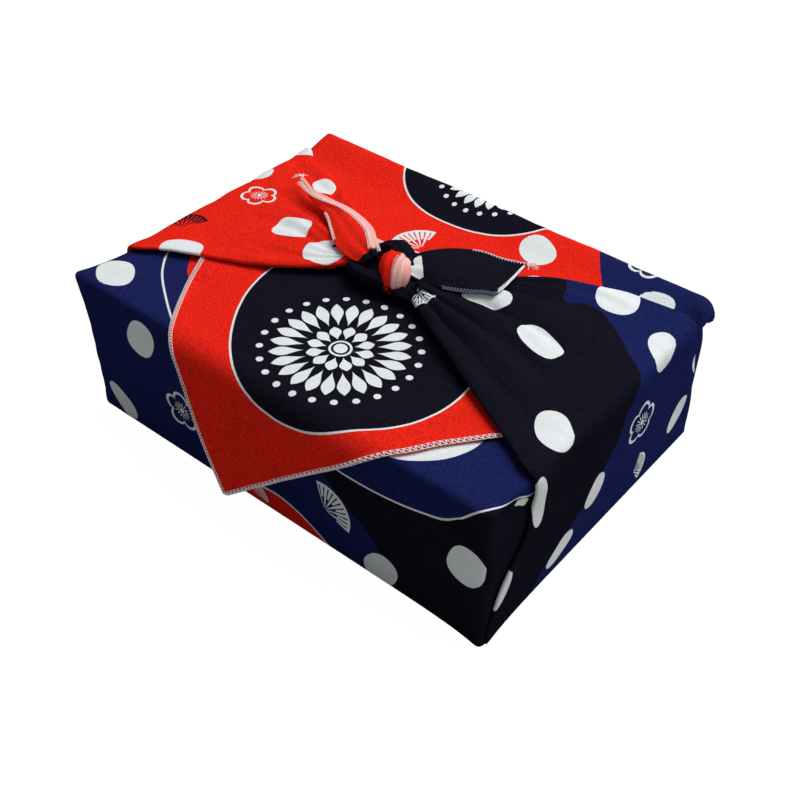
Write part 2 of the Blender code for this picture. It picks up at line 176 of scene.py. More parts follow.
# The knot's strands. Columns: x, y, height over the parcel, the way the flat side faces (x, y, z), half
# width, half thickness
LEFT_STRAND = (
    (-0.044, 0.008, 0.0046, 0, 0, -1, 0.01, 0.003),
    (-0.033, 0.0062, 0.0056, 0, 0, -1, 0.0082, 0.0036),
    (-0.022, 0.003, 0.0056, 0, 0.1, -1, 0.0066, 0.0036),
    (-0.0125, 0.0002, 0.0036, 0, 0, -1, 0.0052, 0.0034),
    (-0.0035, -0.003, 0.0036, 0.2, -0.4, -0.9, 0.005, 0.0034),
    (0.0026, -0.0048, 0.0066, 0.6, -0.8, -0.3, 0.006, 0.0036),
    (0.003, -0.004, 0.0118, 0.4, -0.9, 0.2, 0.0074, 0.0038),
    (0.0008, -0.0005, 0.0158, 0.2, -0.4, 0.9, 0.008, 0.0038),
    (-0.0026, 0.005, 0.016, 0.1, 0.5, 0.8, 0.007, 0.0036),
    (-0.0074, 0.0092, 0.0124, 0, 0.4, 0.9, 0.0056, 0.0034),
    (-0.0136, 0.0112, 0.0098, -0.1, 0.1, 1, 0.0052, 0.0032),
    (-0.0205, 0.0125, 0.0108, -0.3, 0.1, 1, 0.0052, 0.003),
    (-0.0285, 0.0135, 0.0116, -0.1, 0.1, 1, 0.005, 0.0012),
)
RIGHT_STRAND = (
    (0.03, 0.005, 0.006, 0, 0, -1, 0.01, 0.0028),
    (0.02, 0.0015, 0.0058, 0, 0, -1, 0.008, 0.0034),
    (0.011, -0.0012, 0.0056, 0, 0, -1, 0.0068, 0.0034),
    (0.002, -0.003, 0.0066, 0, -0.1, -1, 0.0062, 0.0036),
    (-0.0065, -0.006, 0.008, 0, -0.5, -0.9, 0.006, 0.0038),
    (-0.015, -0.0072, 0.007, -0.2, -0.6, -0.8, 0.0058, 0.0038),
    (-0.023, -0.0038, 0.005, -0.6, -0.4, -0.8, 0.0056, 0.0038),
    (-0.0262, 0.003, 0.0044, -0.7, 0.1, -0.7, 0.0054, 0.0038),
    (-0.0232, 0.0095, 0.0066, -0.8, 0.5, -0.2, 0.0056, 0.0036),
    (-0.0176, 0.013, 0.0112, -0.7, 0.4, 0.5, 0.006, 0.0036),
    (-0.0112, 0.0146, 0.0148, -0.1, 0.3, 1, 0.0066, 0.0038),
    (-0.005, 0.014, 0.0132, 0.4, 0.2, 0.9, 0.0062, 0.0036),
    (0, 0.0128, 0.0098, 0.5, 0.1, 0.9, 0.0056, 0.0032),
    (0.0055, 0.0125, 0.0082, 0.1, 0, 1, 0.0054, 0.0024),
    (0.0115, 0.015, 0.008, 0, 0, 1, 0.005, 0.001),
)
# The free ends. Columns: back border x, y, height, front border x, y, height, crown between them
LEFT_END = (
    (-0.012, 0.0032, 0.0158, -0.0175, -0.003, 0.0105, 0.001),
    (-0.023, 0.0128, 0.0146, -0.027, -0.004, 0.01, 0.0026),
    (-0.033, 0.0218, 0.0128, -0.0385, -0.0015, 0.0104, 0.0026),
    (-0.044, 0.0272, 0.012, -0.0505, 0.0075, 0.0104, 0.0022),
    (-0.058, 0.0312, 0.0112, -0.063, 0.0178, 0.0096, 0.0016),
    (-0.0725, 0.0318, 0.0108, -0.0732, 0.0232, 0.0088, 0.001),
    (-0.0865, 0.0328, 0.0112, -0.0848, 0.0276, 0.009, 0.0006),
    (-0.0985, 0.0372, 0.0124, -0.099, 0.035, 0.0118, 0),
)
RIGHT_END = (
    (-0.0035, 0.016, 0.0106, 0.003, 0.005, 0.0104, 0.0006),
    (-0.003, 0.0215, 0.0104, 0.0115, 0.0058, 0.0092, 0.0026),
    (0.001, 0.031, 0.0098, 0.0248, 0.0053, 0.0106, 0.004),
    (0.0085, 0.04, 0.0094, 0.0359, 0.0096, 0.011, 0.004),
    (0.0205, 0.0475, 0.009, 0.0456, 0.0154, 0.0116, 0.0026),
    (0.0325, 0.05, 0.0086, 0.0506, 0.0206, 0.0116, 0.0012),
    (0.0445, 0.0545, 0.0084, 0.0461, 0.0516, 0.0092, 0),
)

# The print, in millimetres on the cloth as it lies on the parcel: x and y on the top, going on down the
# walls. Columns of dots and discs: x, y, half length, half width, turn in degrees, squareness
SKIN_DOTS = (
    (-119.5, -82.1, 11.7, 9.2, -49, 2.4),
    (-89.9, -116.1, 12.7, 9.1, 62, 2.3),
    (-114.7, -171.2, 12.6, 6.4, -45, 2.2),
    (72.4, -174.2, 11.5, 9.4, 52, 2.3),
    (122, -135.3, 12, 10.4, 79, 2.4),
    (-150, -60, 10.5, 8.5, 20, 2.3),
    (144.2, -71, 5.6, 1.9, 62, 2.2),
)
SKIN_DISC = ((58, -62, 43, 36, 0, 2.2),)
SKIN_RING = (
    (-8, -112), (8, -118), (25, -122.4), (42, -124.3), (50, -124.7), (65, -124), (80.5, -121.6),
    (94.7, -118.8), (105.1, -115.9), (111, -113.2), (116.5, -108), (121.7, -102), (127.2, -95.2),
    (130.3, -90.5), (134.4, -84.5), (139, -74.5), (143, -60), (130, -20), (60, 0), (0, -20), (-16, -70),
)
SKIN_BLACK = (
    (30, -122), (42, -124.3), (50, -124.7), (65, -124), (80.5, -121.6), (94.7, -118.8), (105.1, -115.9),
    (111, -113.2), (116.5, -108), (121.7, -102), (127.2, -95.2), (130.3, -90.5), (134.4, -84.5),
    (139, -74.5), (150, -60), (190, -70), (205, -62), (245, -60), (245, -150), (150, -190), (94, -190),
    (70, -160), (40, -136),
)
SKIN_RED_TOP = (
    (-112, -20), (-107.5, -40), (-101.5, -49), (-94, -57.5), (-82, -64), (-60, -70), (-20, -70), (20, -20),
    (-40, 20),
)
SKIN_LEFT = (
    (-122, -35), (-119.5, -44), (-115.5, -52), (-108.5, -61), (-99.4, -69.8), (-85.1, -80.5), (-72, -89.4),
    (-58, -98), (-20, -112), (20, -125), (20, -300), (-300, -300), (-300, -10), (-130, -10),
)
SKIN_RED_FRONT = (
    (-96, -200), (-70, -191), (-43, -181), (-25, -173.5), (-7.6, -169.3), (1.9, -168.4), (10.6, -169.3),
    (19.3, -171.6), (27.6, -175.5), (36, -180.3), (44, -185.5), (60, -200), (0, -215), (-60, -215),
)
FLAP_DOTS = (
    (36.6, 77.9, 12.3, 8.9, -34, 2.3),
    (54.4, 52, 11, 8.5, 0, 2.3),
    (109.4, 78, 9.6, 8, 8, 2.4),
    (-93, 174, 11.5, 9, 30, 2.3),
    (75, 150, 11.5, 9, -40, 2.3),
    (-100, 150, 11, 9, 70, 2.3),
    (112, 136, 11, 8, 10, 2.3),
    (38, 183, 11, 9, 10, 2.3),
)
FLAP_BLACK = ((7, -36, 74.5, 63.5, -54, 2.2), (-19.5, 122.4, 56.7, 53.3, 5, 2.2))
FLAP_NAVY = (
    (57, 112), (66, 93), (81, 73), (95, 55), (150, 50), (150, 200), (60, 200), (52, 150),
)
LEFT_DOTS = (
    (-108, -48.6, 12.2, 9.6, 30, 2.4),
    (-75.4, 3.4, 10.6, 9, 20, 3.6),
    (-44.6, -4.4, 11.8, 10, 37, 2.3),
    (-129.8, 74.3, 9.5, 7, 20, 2.3),
    (-135.2, 37.6, 9, 8, 30, 2.3),
    (-165, -30, 11, 8.5, 60, 2.3),
    (-176, 44, 11.5, 9, -30, 2.3),
    (-206, 5, 11, 9, 15, 2.3),
    (-150, 5, 10, 8, -50, 2.3),
    (-208, -62, 11, 7, -30, 2.3),
    (-92, 48, 9, 6, -30, 2.3),
    (-204, 78, 11, 7.5, 40, 2.3),
)
LEFT_NAVY = (
    (-250, -140), (-170, -120), (-158, -60), (-178, -20), (-186, 30), (-172, 70), (-165, 120), (-250, 140),
)
RIGHT_DOTS = (
    (94.5, 65, 11.6, 11.5, 21, 2.3),
    (84, 9.2, 13.6, 7.8, -15, 2.9),
    (132.6, 48, 12, 8, -44, 2.5),
    (124, -37.5, 12.4, 8.8, -41, 2.3),
    (192.6, 75, 11.6, 5.2, -28, 2.2),
    (163.6, 86, 9, 5, 28, 2.2),
    (187, -7.5, 10.4, 7, -30, 2.2),
    (206.9, -34.7, 12, 5.4, -67, 2.4),
    (151.5, -63, 16.5, 4.4, 4, 2.4),
    (191, -86, 10.6, 3, -28, 2.4),
    (46, 17, 12.5, 6.6, 25, 2.3),
)
RIGHT_BLACK = (
    (-20, 90), (60, 62), (74, 46), (84, 50), (95, 50), (108, 42), (128, 27), (144, 16), (170, 6),
    (199, -28), (208, -48), (222, -66), (232, -110), (120, -130), (0, -90),
)

# Motifs. Columns: x, y, size in millimetres, turn in degrees
SKIN_MOTIFS = {
    "plum": ((-64, -150, 12, 20),),
    "fan": ((36.3, -156.6, 17, 44), (-12, -178, 9, 60)),
}
FLAP_MOTIFS = {
    "rosette": ((10, -54, 41, 7), (-18, 116, 34, 3)),
    "plum": ((92, 101, 11, 10),),
    "fan": ((-14, 40, 18, 165),),
}
LEFT_MOTIFS = {"plum": ((-115, 18, 10.5, 5),), "dark_fan": ((-124, -33, 15, 130),)}
RIGHT_MOTIFS = {
    "fan": ((18, -3, 9, -40), (206, 34, 12, 100)),
    "plum": ((168, 31, 12, 30),),
}
NO_MOTIFS = {}
# The width of the print's lines, and the distance that stands for an ink that isn't there
LINE_WIDTH = 1.1 * MM
NOT_PRINTED = 0.05
# The turned up border of the red end
RIBBON = 0.0044
# How far the edges of the print's dots wander, and over what length
WANDER, WANDER_PITCH = 0.5 * MM, 0.024
# The scales of the noise: the crepe's grain, which also gives its painted glints, its weave, its clouding,
# the threads' plies, the card's fibres
GRAIN_AND_GLINT_SCALE, WEAVE_SCALE, CLOUD_SCALE, PLY_SCALE, FIBRE_SCALE = 1150, 1100, 45, 2600, 320
# How pale the wrong side is
PALENESS = 0.66

# The surfaces' slow unevenness. Columns: height, pitch, seed (on a side corner, past the corner's own)
SKIN_WAVES = ((0.00045, 0.045, 11), (0.00022, 0.017, 12))
FLAP_WAVES = ((0.00025, 0.05, 21), (0.0001, 0.016, 22))
BAND_WAVES = ((0.00035, 0.04, 0), (0.00018, 0.014, 1))
# The lip, the mouth and the pinch of the pocket in the front wall. Columns: height, x, its reach, z, its
# slope and its curve along x, its reach
POCKET = (
    (0.0022, 0.116, 0.011, 0.066, 0, -12, 0.003),
    (-0.002, 0.119, 0.01, 0.0725, 0.2, 0, 0.0032),
    (-0.0012, 0.131, 0.004, 0.045, 0, 0, 0.007),
)
# The dent beside the ear: its middle, and its depth in the skin and in the back corner
EAR_X, EAR_Y = 0.1305, 0.0810
EAR_IN_SKIN, EAR_IN_FLAP = 0.0105, 0.0095
# The back corner's creases. Columns: x at the knot's front, its gain for each metre further to the front,
# height
KNOT_FRONT_Y = -0.01
CREASES = ((-0.006, -0.55, 0.0007), (0.002, 0.15, 0.0006), (-0.001, -0.2, 0.0005))
# Where the side corners' folds are highest on the way to the knot, and how much of them is gone at it
FOLD_PEAK, FOLD_FADE = 0.6, 0.85
# The side corners' fine gathers: how many to a width, and their height. Then the arch of the cloth at the
# knot, and the share of the cloth's thickness that these corners have
GATHERS, GATHER_HEIGHT = 9, 0.00032
BAND_ARCH = 0.0040
BAND_CLOTH = 0.7
# Their turned borders: the bend's radius at the wall and what it gains over the top, and the step beneath
BORDER_RADIUS, BORDER_GAIN, TUCK_STEP = 0.00065, 0.0006, 0.0012
# The strands' lengthwise pleats. Columns: share of the radius, how many, how far they wind, where they start
STRAND_PLEATS = ((0.07, 7, 3, 0.7), (0.05, 12, -5, 1.4))
# How far the skin's rows under the base stand in from its edge
BASE_INSETS = (0.092, 0.07, 0.045, 0.02, 0.009)

# How finely the surfaces are drawn: spacing along them, points across them or round them, and steps round
# a turned border and back under it. The top's reach is how far in over it the skin goes
FLAP_STEP = 0.0023
BAND_STEP = 0.0020
FLAP_COLUMNS = 104
BAND_COLUMNS = 110
HEM_STEPS = 5
TUCK_STEPS = 5
SKIN_STEPS = (108, 78, 6)
WALL_ROWS = 38
TOP_ROWS = 27
TOP_REACH = 0.062
STRAND_ROWS, STRAND_SIDES = 150, 44
END_ROWS, END_COLUMNS = 80, 34
# Points round a thread, to each stitch and along a loose thread
THREAD_SIDES, STITCH_POINTS, TAIL_POINTS = 6, 8, 14

# The back corner's hems. Columns: name, column of the grid, step into the cloth, how far up from the tip,
# shares of the stitch pitch and of the hem's width, shares of the thread's radius: crossing, rim, needle
FLAP_HEMS = (
    ("left", 0, 1, 0.150, 0.60, 0.76, (0.70, 0.60, 0.60)),
    ("right", FLAP_COLUMNS - 1, -1, 0.128, 1.1, 1.0, (1.15, 0.60, 0.35)),
)
# The free ends' hems: shares of the stitch pitch, the cloth's thickness and the thread's radius. Columns:
# name, rows from and to, width, whether its thread is dark
END_PITCH, END_RAISE, END_THREAD = 0.65, 0.8, 0.6
LEFT_END_HEMS = (
    ("ribbon", 6, 78, 0.0022, False),
    ("border", 2, 12, 0.0020, False),
    ("front", 28, 50, 0.0016, False),
)
RIGHT_END_HEMS = (
    ("back", 48, None, 0.0026, False),
    ("tip", 65, None, 0.0042, False),
    ("front", 28, 66, 0.0022, True),
)
# The seam that shows on the knot's bight: its lines with their columns of the strand's grid, its rows, its
# pitch, width and thread radius, and its share of the cloth's thickness
KNOT_SEAMS = (("border", 12), ("second", 9))
KNOT_SEAM_ROWS = slice(68, 96)
KNOT_PITCH, KNOT_WIDTH, KNOT_THREAD, KNOT_RAISE = 0.0014, 0.0015, 0.00010, 0.2
# The loose threads at a free end's tip: how many there are, how long the longest can be, and how far they
# turn aside
TAIL_COUNT, TAIL_REACH, TAIL_TURN = 16, 0.0070, 0.9


def unit(vectors):
    return vectors / np.maximum(np.linalg.norm(vectors, axis=-1, keepdims=True), 1e-12)


def smooth_curve(table, samples):
    """A Catmull-Rom curve through the rows of a table, read at evenly spaced places: each span is the cubic
    whose slope at a row is half the step from the row before it to the row after it."""
    rows = np.array(table, float)
    rows = np.vstack([2 * rows[0] - rows[1], rows, 2 * rows[-1] - rows[-2]])
    at = np.linspace(0, len(table) - 1, samples)
    k = np.minimum(at.astype(int), len(table) - 2)
    t = (at - k)[:, None]
    a, b, c, d = rows[k], rows[k + 1], rows[k + 2], rows[k + 3]
    return 0.5 * (
        2 * b
        + (c - a) * t
        + (2 * a - 5 * b + 4 * c - d) * t**2
        + (3 * b - a - 3 * c + d) * t**3
    )


def through(keys, run, at):
    """Cubic curves through key rows set at these lengths, read at others: each span is the Hermite cubic of
    its two rows and of their slopes, which are the rows' gradient over the length."""
    flat = keys.reshape(len(keys), -1)
    slope = np.gradient(flat, run, axis=0)
    k = np.clip(np.searchsorted(run, at, side="right") - 1, 0, len(run) - 2)
    step = (run[k + 1] - run[k])[:, None]
    t = (at[:, None] - run[k][:, None]) / step
    made = (
        (2 * t**3 - 3 * t**2 + 1) * flat[k]
        + (t**3 - 2 * t**2 + t) * step * slope[k]
        + (3 * t**2 - 2 * t**3) * flat[k + 1]
        + (t**3 - t**2) * step * slope[k + 1]
    )
    return made.reshape(len(at), *keys.shape[1:])


def length_along(line):
    """The length along a line of points, from its first point to each."""
    return np.concatenate([[0], np.cumsum(np.linalg.norm(np.diff(line, axis=0), axis=1))])


def normals(grid):
    """A grid's unit normals: the step along the columns crossed with the step along the rows."""
    return unit(np.cross(np.gradient(grid, axis=1), np.gradient(grid, axis=0)))


def bell(value, middle, reach):
    """A smooth bump: e to the minus square of the distance from its middle over its reach."""
    return np.exp(-(((value - middle) / reach) ** 2))


def ease(value, low, high):
    """0 below low, 1 above high, and the cubic 3t^2 - 2t^3 between."""
    t = np.clip((value - low) / (high - low), 0, 1)
    return t * t * (3 - 2 * t)


def ripples(u, v, pitch, seed):
    """Slow unevenness, mostly from -1 to 1: seven cosines of the place along random directions, whose
    wavelengths are about the pitch, added up and divided by 3.5."""
    draw = np.random.default_rng(seed)
    total = np.zeros(np.broadcast(u, v).shape)
    for _ in range(7):
        turn, phase = draw.uniform(0, 2 * math.pi, 2)
        wave = 2 * math.pi / (pitch * draw.uniform(0.6, 1.6))
        total += np.cos(wave * (u * math.cos(turn) + v * math.sin(turn)) + phase)
    return total / 3.5


def waves(u, v, table, seed=0):
    """Ripples over ripples, each of its own height and pitch."""
    return sum(height * ripples(u, v, pitch, seed + own) for height, pitch, own in table)


def blob_distance(u, v, row):
    """About the distance to the edge of a rounded blob, less than 0 inside: the superellipse's level
    (|p/a|^n + |q/b|^n)^(1/n), less 1, over the length of the level's slope."""
    middle_u, middle_v, a, b, turn, n = row
    c, s = math.cos(math.radians(turn)), math.sin(math.radians(turn))
    du, dv = u - middle_u * MM, v - middle_v * MM
    p = np.abs(du * c + dv * s) / (a * MM) + 1e-6
    q = np.abs(dv * c - du * s) / (b * MM) + 1e-6
    level = (p**n + q**n) ** (1 / n)
    slope = level ** (1 - n) * np.hypot(p ** (n - 1) / (a * MM), q ** (n - 1) / (b * MM))
    return (level - 1) / slope


def nearest_blob(u, v, rows):
    """The least of the distances to these blobs, on a place that is moved a little to make them uneven."""
    nearest = np.full(u.shape, NOT_PRINTED)
    shift_u, shift_v = (WANDER * ripples(u, v, WANDER_PITCH, seed) for seed in (5, 6))
    for row in rows:
        nearest = np.minimum(nearest, blob_distance(u + shift_u, v + shift_v, row))
    return nearest


def curve_distance(u, v, line):
    """The least distance to a line's short straight pieces, and how often a level ray crosses them."""
    start, way = line[:-1], np.diff(line, axis=0)
    place = np.column_stack([u.ravel(), v.ravel()])[:, None]
    share = ((place - start) * way).sum(2) / np.maximum((way**2).sum(1), 1e-18)
    foot = start + np.clip(share, 0, 1)[..., None] * way
    far = np.linalg.norm(place - foot, axis=2).min(1)
    x, y = place[..., 0], place[..., 1]
    spans = (start[:, 1] > y) != (line[1:, 1] > y)
    rise = np.where(np.abs(way[:, 1]) < 1e-12, 1e-12, way[:, 1])
    crossed = spans & (x < start[:, 0] + (y - start[:, 1]) * way[:, 0] / rise)
    return far.reshape(u.shape), crossed.sum(1).reshape(u.shape)


def field_distance(u, v, table):
    """The distance to a closed smooth outline, less than 0 inside it."""
    corners = np.array(table, float) * MM
    closed = np.vstack([corners[-1:], corners, corners[:2]])
    far, crossings = curve_distance(u, v, smooth_curve(closed, 7 * (len(closed) - 1) + 1)[7:-7])
    return np.where(crossings % 2 == 1, -far, far)


def unprinted(u):
    return np.full(u.shape, NOT_PRINTED)


def skin_print(u, v):
    """The ink of the layer next to the box: a navy ground, red fields, a black one, a ringed disc, lines
    and dots."""
    front = field_distance(u, v, SKIN_RED_FRONT)
    red = np.minimum(field_distance(u, v, SKIN_RED_TOP), front)
    black = field_distance(u, v, SKIN_BLACK)
    white = np.minimum(nearest_blob(u, v, SKIN_DOTS), nearest_blob(u, v, SKIN_DISC))
    ring = field_distance(u, v, SKIN_RING)
    left = field_distance(u, v, SKIN_LEFT)
    lines = np.where(v < -0.150, front, np.where(u < 0, -left, ring))
    return red, black, white, lines


def flap_print(u, v):
    """The ink of the back corner: a red ground, outlined black fields, a navy field and dots."""
    navy = field_distance(u, v, FLAP_NAVY)
    black = np.minimum(*(blob_distance(u, v, row) for row in FLAP_BLACK))
    white = nearest_blob(u, v, FLAP_DOTS)
    return -navy, black, white, black


def left_print(u, v):
    """The ink of the left corner: a red ground that ends in navy low on the wall, and dots."""
    navy = field_distance(u, v, LEFT_NAVY)
    return -navy, unprinted(u), nearest_blob(u, v, LEFT_DOTS), navy


def right_print(u, v):
    """The ink of the right corner: a navy ground, a black field towards the knot, and dots."""
    return unprinted(u), field_distance(u, v, RIGHT_BLACK), nearest_blob(u, v, RIGHT_DOTS), unprinted(u)


def add_object(name, data):
    made = bpy.data.objects.new(name, data)
    bpy.context.scene.collection.objects.link(made)
    return made


def add_smooth(name, mesh, finish):
    """Put a mesh in the scene, smoothly shaded and with its finish."""
    mesh.polygons.foreach_set("use_smooth", np.ones(len(mesh.polygons), bool))
    mesh.materials.append(finish)
    return add_object(name, mesh)


def quads(rows, columns, closed):
    """The faces of a grid, as whole arrays: each is a point, its neighbour along the row, and the two
    points of the next row. A closed grid joins its last column to its first."""
    r = np.arange(rows - 1)[:, None]
    c = np.arange(columns if closed else columns - 1)[None]
    d = (c + 1) % columns
    faces = np.stack([r * columns + c, r * columns + d, (r + 1) * columns + d, (r + 1) * columns + c], 2)
    return faces.reshape(-1, 4).tolist()


def grid_piece(name, grid, place, ink, wrong, finish, closed=False, caps=()):
    """A mesh through a grid of points, with its place on the cloth as the UV map "print", the distances to
    its red, black and white ink as the attribute "ink", and the distance to its lines and the share of
    wrong side that shows as the attribute "detail". Caps are rows whose ring is filled."""
    rows, columns = grid.shape[:2]
    faces = quads(rows, columns, closed)
    for row in caps:
        ring = [row * columns + c for c in range(columns)]
        faces.append(ring[::-1] if row == 0 else ring)
    mesh = bpy.data.meshes.new(name)
    mesh.from_pydata(grid.reshape(-1, 3).tolist(), [], faces)
    mesh.update()
    points = np.zeros(len(mesh.loops), int)
    mesh.loops.foreach_get("vertex_index", points)
    flat = np.stack(place, -1).reshape(-1, 2)
    layer = mesh.uv_layers.new(name="print")
    layer.data.foreach_set("uv", flat[points].ravel().astype(np.float32))
    red, black, white, lines = (np.broadcast_to(part, place[0].shape) for part in ink)
    spare = np.zeros(place[0].shape)
    for label, parts in (("ink", (red, black, white)), ("detail", (lines, spare + wrong, spare))):
        attribute = mesh.attributes.new(label, "FLOAT_VECTOR", "POINT")
        attribute.data.foreach_set("vector", np.stack(parts, -1).ravel().astype(np.float32))
    return add_smooth(name, mesh, finish)


def thicken(piece, thickness, offset):
    """Give a layer of cloth its thickness."""
    solid = piece.modifiers.new("thickness", "SOLIDIFY")
    solid.thickness = thickness
    solid.offset = offset
    solid.use_even_offset = True
    solid.use_quality_normals = True


def puffed(points):
    """How far the cloth stands off the box's own shape: it billows up towards the back edge of the top,
    by a cubic step along y and up the walls, and is drawn out to points at two corners, by e to the
    minus distance over the reach."""
    shift = np.zeros(points.shape)
    shift[..., 2] = BILLOW * ease(points[..., 1], 0.068, 0.098) * ease(points[..., 2], 0.060, 0.084)
    for x, y, z, reach, *out in PULLS:
        away = np.linalg.norm(points - (x, y, z), axis=-1)
        shift += np.exp(-away / reach)[..., None] * out
    return shift


def ear_hollow(points, grain_tone_and_glints):
    """The dent beside the rolled ear at the back right: a bell in x and y on the top, and one in y and z
    that draws the end wall in below it."""
    x, y, z = points[..., 0], points[..., 1], points[..., 2]
    dent = bell(x, EAR_X, 0.0050) * bell(y, EAR_Y, 0.0052) * ease(z, 0.070, 0.082)
    under = ease(x, SKIN_X - 0.006, SKIN_X - 0.001) * bell(y, 0.0900, 0.0110) * bell(z, 0.0755, 0.0060)
    shift = np.zeros(points.shape)
    shift[..., 0] = -0.0028 * under
    shift[..., 2] = -grain_tone_and_glints * dent
    return shift


def perimeter(half_x, half_y, radius, long_steps, short_steps, corner_steps):
    """Points round a rectangle with round corners, anticlockwise from its front left: straight runs in
    even steps, and quarter circles about the corners' centres."""
    points = []
    start = np.array((-(half_x - radius), -half_y))
    for sx, sy, angle, steps in (
        (1, -1, -90, long_steps),
        (1, 1, 0, short_steps),
        (-1, 1, 90, long_steps),
        (-1, -1, 180, short_steps),
    ):
        centre = np.array((sx * (half_x - radius), sy * (half_y - radius)))
        turn = np.radians(angle + np.linspace(0, 90, corner_steps + 1))
        arc = centre + radius * np.column_stack([np.cos(turn), np.sin(turn)])
        points.append(start + (arc[0] - start) * (np.arange(steps) / steps)[:, None])
        points.append(arc[:-1])
        start = arc[-1]
    return np.vstack(points)


def skin_surface():
    """The layer next to the box. Its profile runs in from under the base, round the lower edge, up the
    wall, round the upper edge and in over the top, and each row is the rounded rectangle of its inset.
    The walls carry slow unevenness, but not the back one, which the back corner covers. A pocket with its
    lip is pressed into the front wall near its upper right corner, and a hollow into the end wall beside
    it; the ear's dent is at the back right corner."""
    turn = np.linspace(0, math.pi / 2, 5)
    low = np.column_stack([EDGE_RADIUS * (1 - np.sin(turn)), EDGE_RADIUS * (1 - np.cos(turn))])
    wall = np.linspace(EDGE_RADIUS, SKIN_TOP - EDGE_RADIUS, WALL_ROWS)[1:-1]
    high = np.column_stack([EDGE_RADIUS * (1 - np.cos(turn)), SKIN_TOP - EDGE_RADIUS * (1 - np.sin(turn))])
    over = np.linspace(EDGE_RADIUS, TOP_REACH, TOP_ROWS)[1:]
    profile = np.vstack(
        [
            np.column_stack([BASE_INSETS, np.zeros(len(BASE_INSETS))]),
            low,
            np.column_stack([np.zeros(len(wall)), wall]),
            high,
            np.column_stack([over, np.full(len(over), SKIN_TOP)]),
        ]
    )
    rows = []
    for inset, height in profile:
        flat = perimeter(
            SKIN_X - inset, SKIN_Y - inset, max(CORNER_RADIUS - inset, SHARPEST), *SKIN_STEPS
        )
        rows.append(np.column_stack([flat, np.full(len(flat), height)]))
    grid = np.array(rows)
    x, y, z = grid[..., 0], grid[..., 1], grid[..., 2]
    down = np.maximum(SKIN_TOP - z, 0)
    end = (np.abs(x) > SKIN_X - 0.0012) & (np.abs(y) < SKIN_Y - 0.0012)
    u = np.where(end, x + np.sign(x) * down, x)
    v = np.where(end, y, y + np.sign(y) * down)
    outward = np.zeros(grid.shape)
    outward[..., 0] = ease(np.abs(x), SKIN_X - 0.004, SKIN_X - 0.0005) * np.sign(x)
    outward[..., 1] = ease(np.abs(y), SKIN_Y - 0.004, SKIN_Y - 0.0005) * np.sign(y)
    free = ease(z, 0.002, 0.014) * (1 - 0.8 * ease(z, 0.072, 0.084)) * (1 - ease(y, 0.088, 0.095))
    pocket = 0
    for height, at_x, reach_x, at_z, slope, curve, reach_z in POCKET:
        line = at_z + slope * (x - at_x) + curve * (x - at_x) ** 2
        pocket = pocket + height * bell(x, at_x, reach_x) * bell(z, line, reach_z)
    hollow = bell(y, -0.081, 0.012) * bell(z, 0.077, 0.008)
    hollow *= 0.0035 * ease(x, SKIN_X - 0.004, SKIN_X - 0.001)
    in_front = ease(-y, SKIN_Y - 0.004, SKIN_Y - 0.001)
    lift = free * waves(u, v, SKIN_WAVES) + in_front * pocket - hollow
    grid = grid + outward * lift[..., None] + puffed(grid) + ear_hollow(grid, EAR_IN_SKIN)
    grid[..., 2] += 0.0002 * ease(z, SKIN_TOP - 0.002, SKIN_TOP) * ripples(x, y, 0.05, 13)
    return grid, (u, v)


def flap_profile(step):
    """The back corner's middle line: the hanging part, straight and a little off the plumb, the arc of the
    front edge, the level top, the arc of the back edge and the back wall. Columns: the length from the
    tip, y, z, and the y and z of the way outwards."""
    middle = HEIGHT - CLOTH / 2
    back_y = SKIN_Y + CLOTH / 2 - 0.0003
    top_end = back_y - BACK_BEND
    bent = HANG + BEND_RADIUS * BEND_ANGLE
    run_top = bent + top_end - BEND_START_Y
    run_down = run_top + BACK_BEND * math.pi / 2
    total = run_down + middle - BACK_BEND - 0.004
    run = np.linspace(0, total, int(total / step))
    left = np.clip(HANG - run, 0, None)
    turn = BEND_ANGLE * np.clip((bent - run) / (BEND_RADIUS * BEND_ANGLE), 0, 1)
    back = np.clip((run - run_top) / BACK_BEND, 0, math.pi / 2)
    fall = np.clip(run - run_down, 0, None)
    y = np.where(
        run < bent,
        BEND_START_Y - BEND_RADIUS * np.sin(turn) - left * math.cos(BEND_ANGLE),
        np.minimum(BEND_START_Y + run - bent, top_end) + BACK_BEND * np.sin(back),
    )
    z = np.where(
        run < bent,
        middle - BEND_RADIUS * (1 - np.cos(turn)) - left * math.sin(BEND_ANGLE),
        middle - BACK_BEND * (1 - np.cos(back)) - fall,
    )
    out_y = np.where(run < bent, -np.sin(turn), np.sin(back))
    out_z = np.where(run < bent, np.cos(turn), np.cos(back))
    return run, y, z, out_y, out_z, bent


def hem_line(table, run):
    """A hem's x at these lengths from the tip: a cubic through its table, and level past its end."""
    keys = np.array(table)
    return through(keys[:, 1:], keys[:, 0], np.minimum(run, keys[-1, 0]))


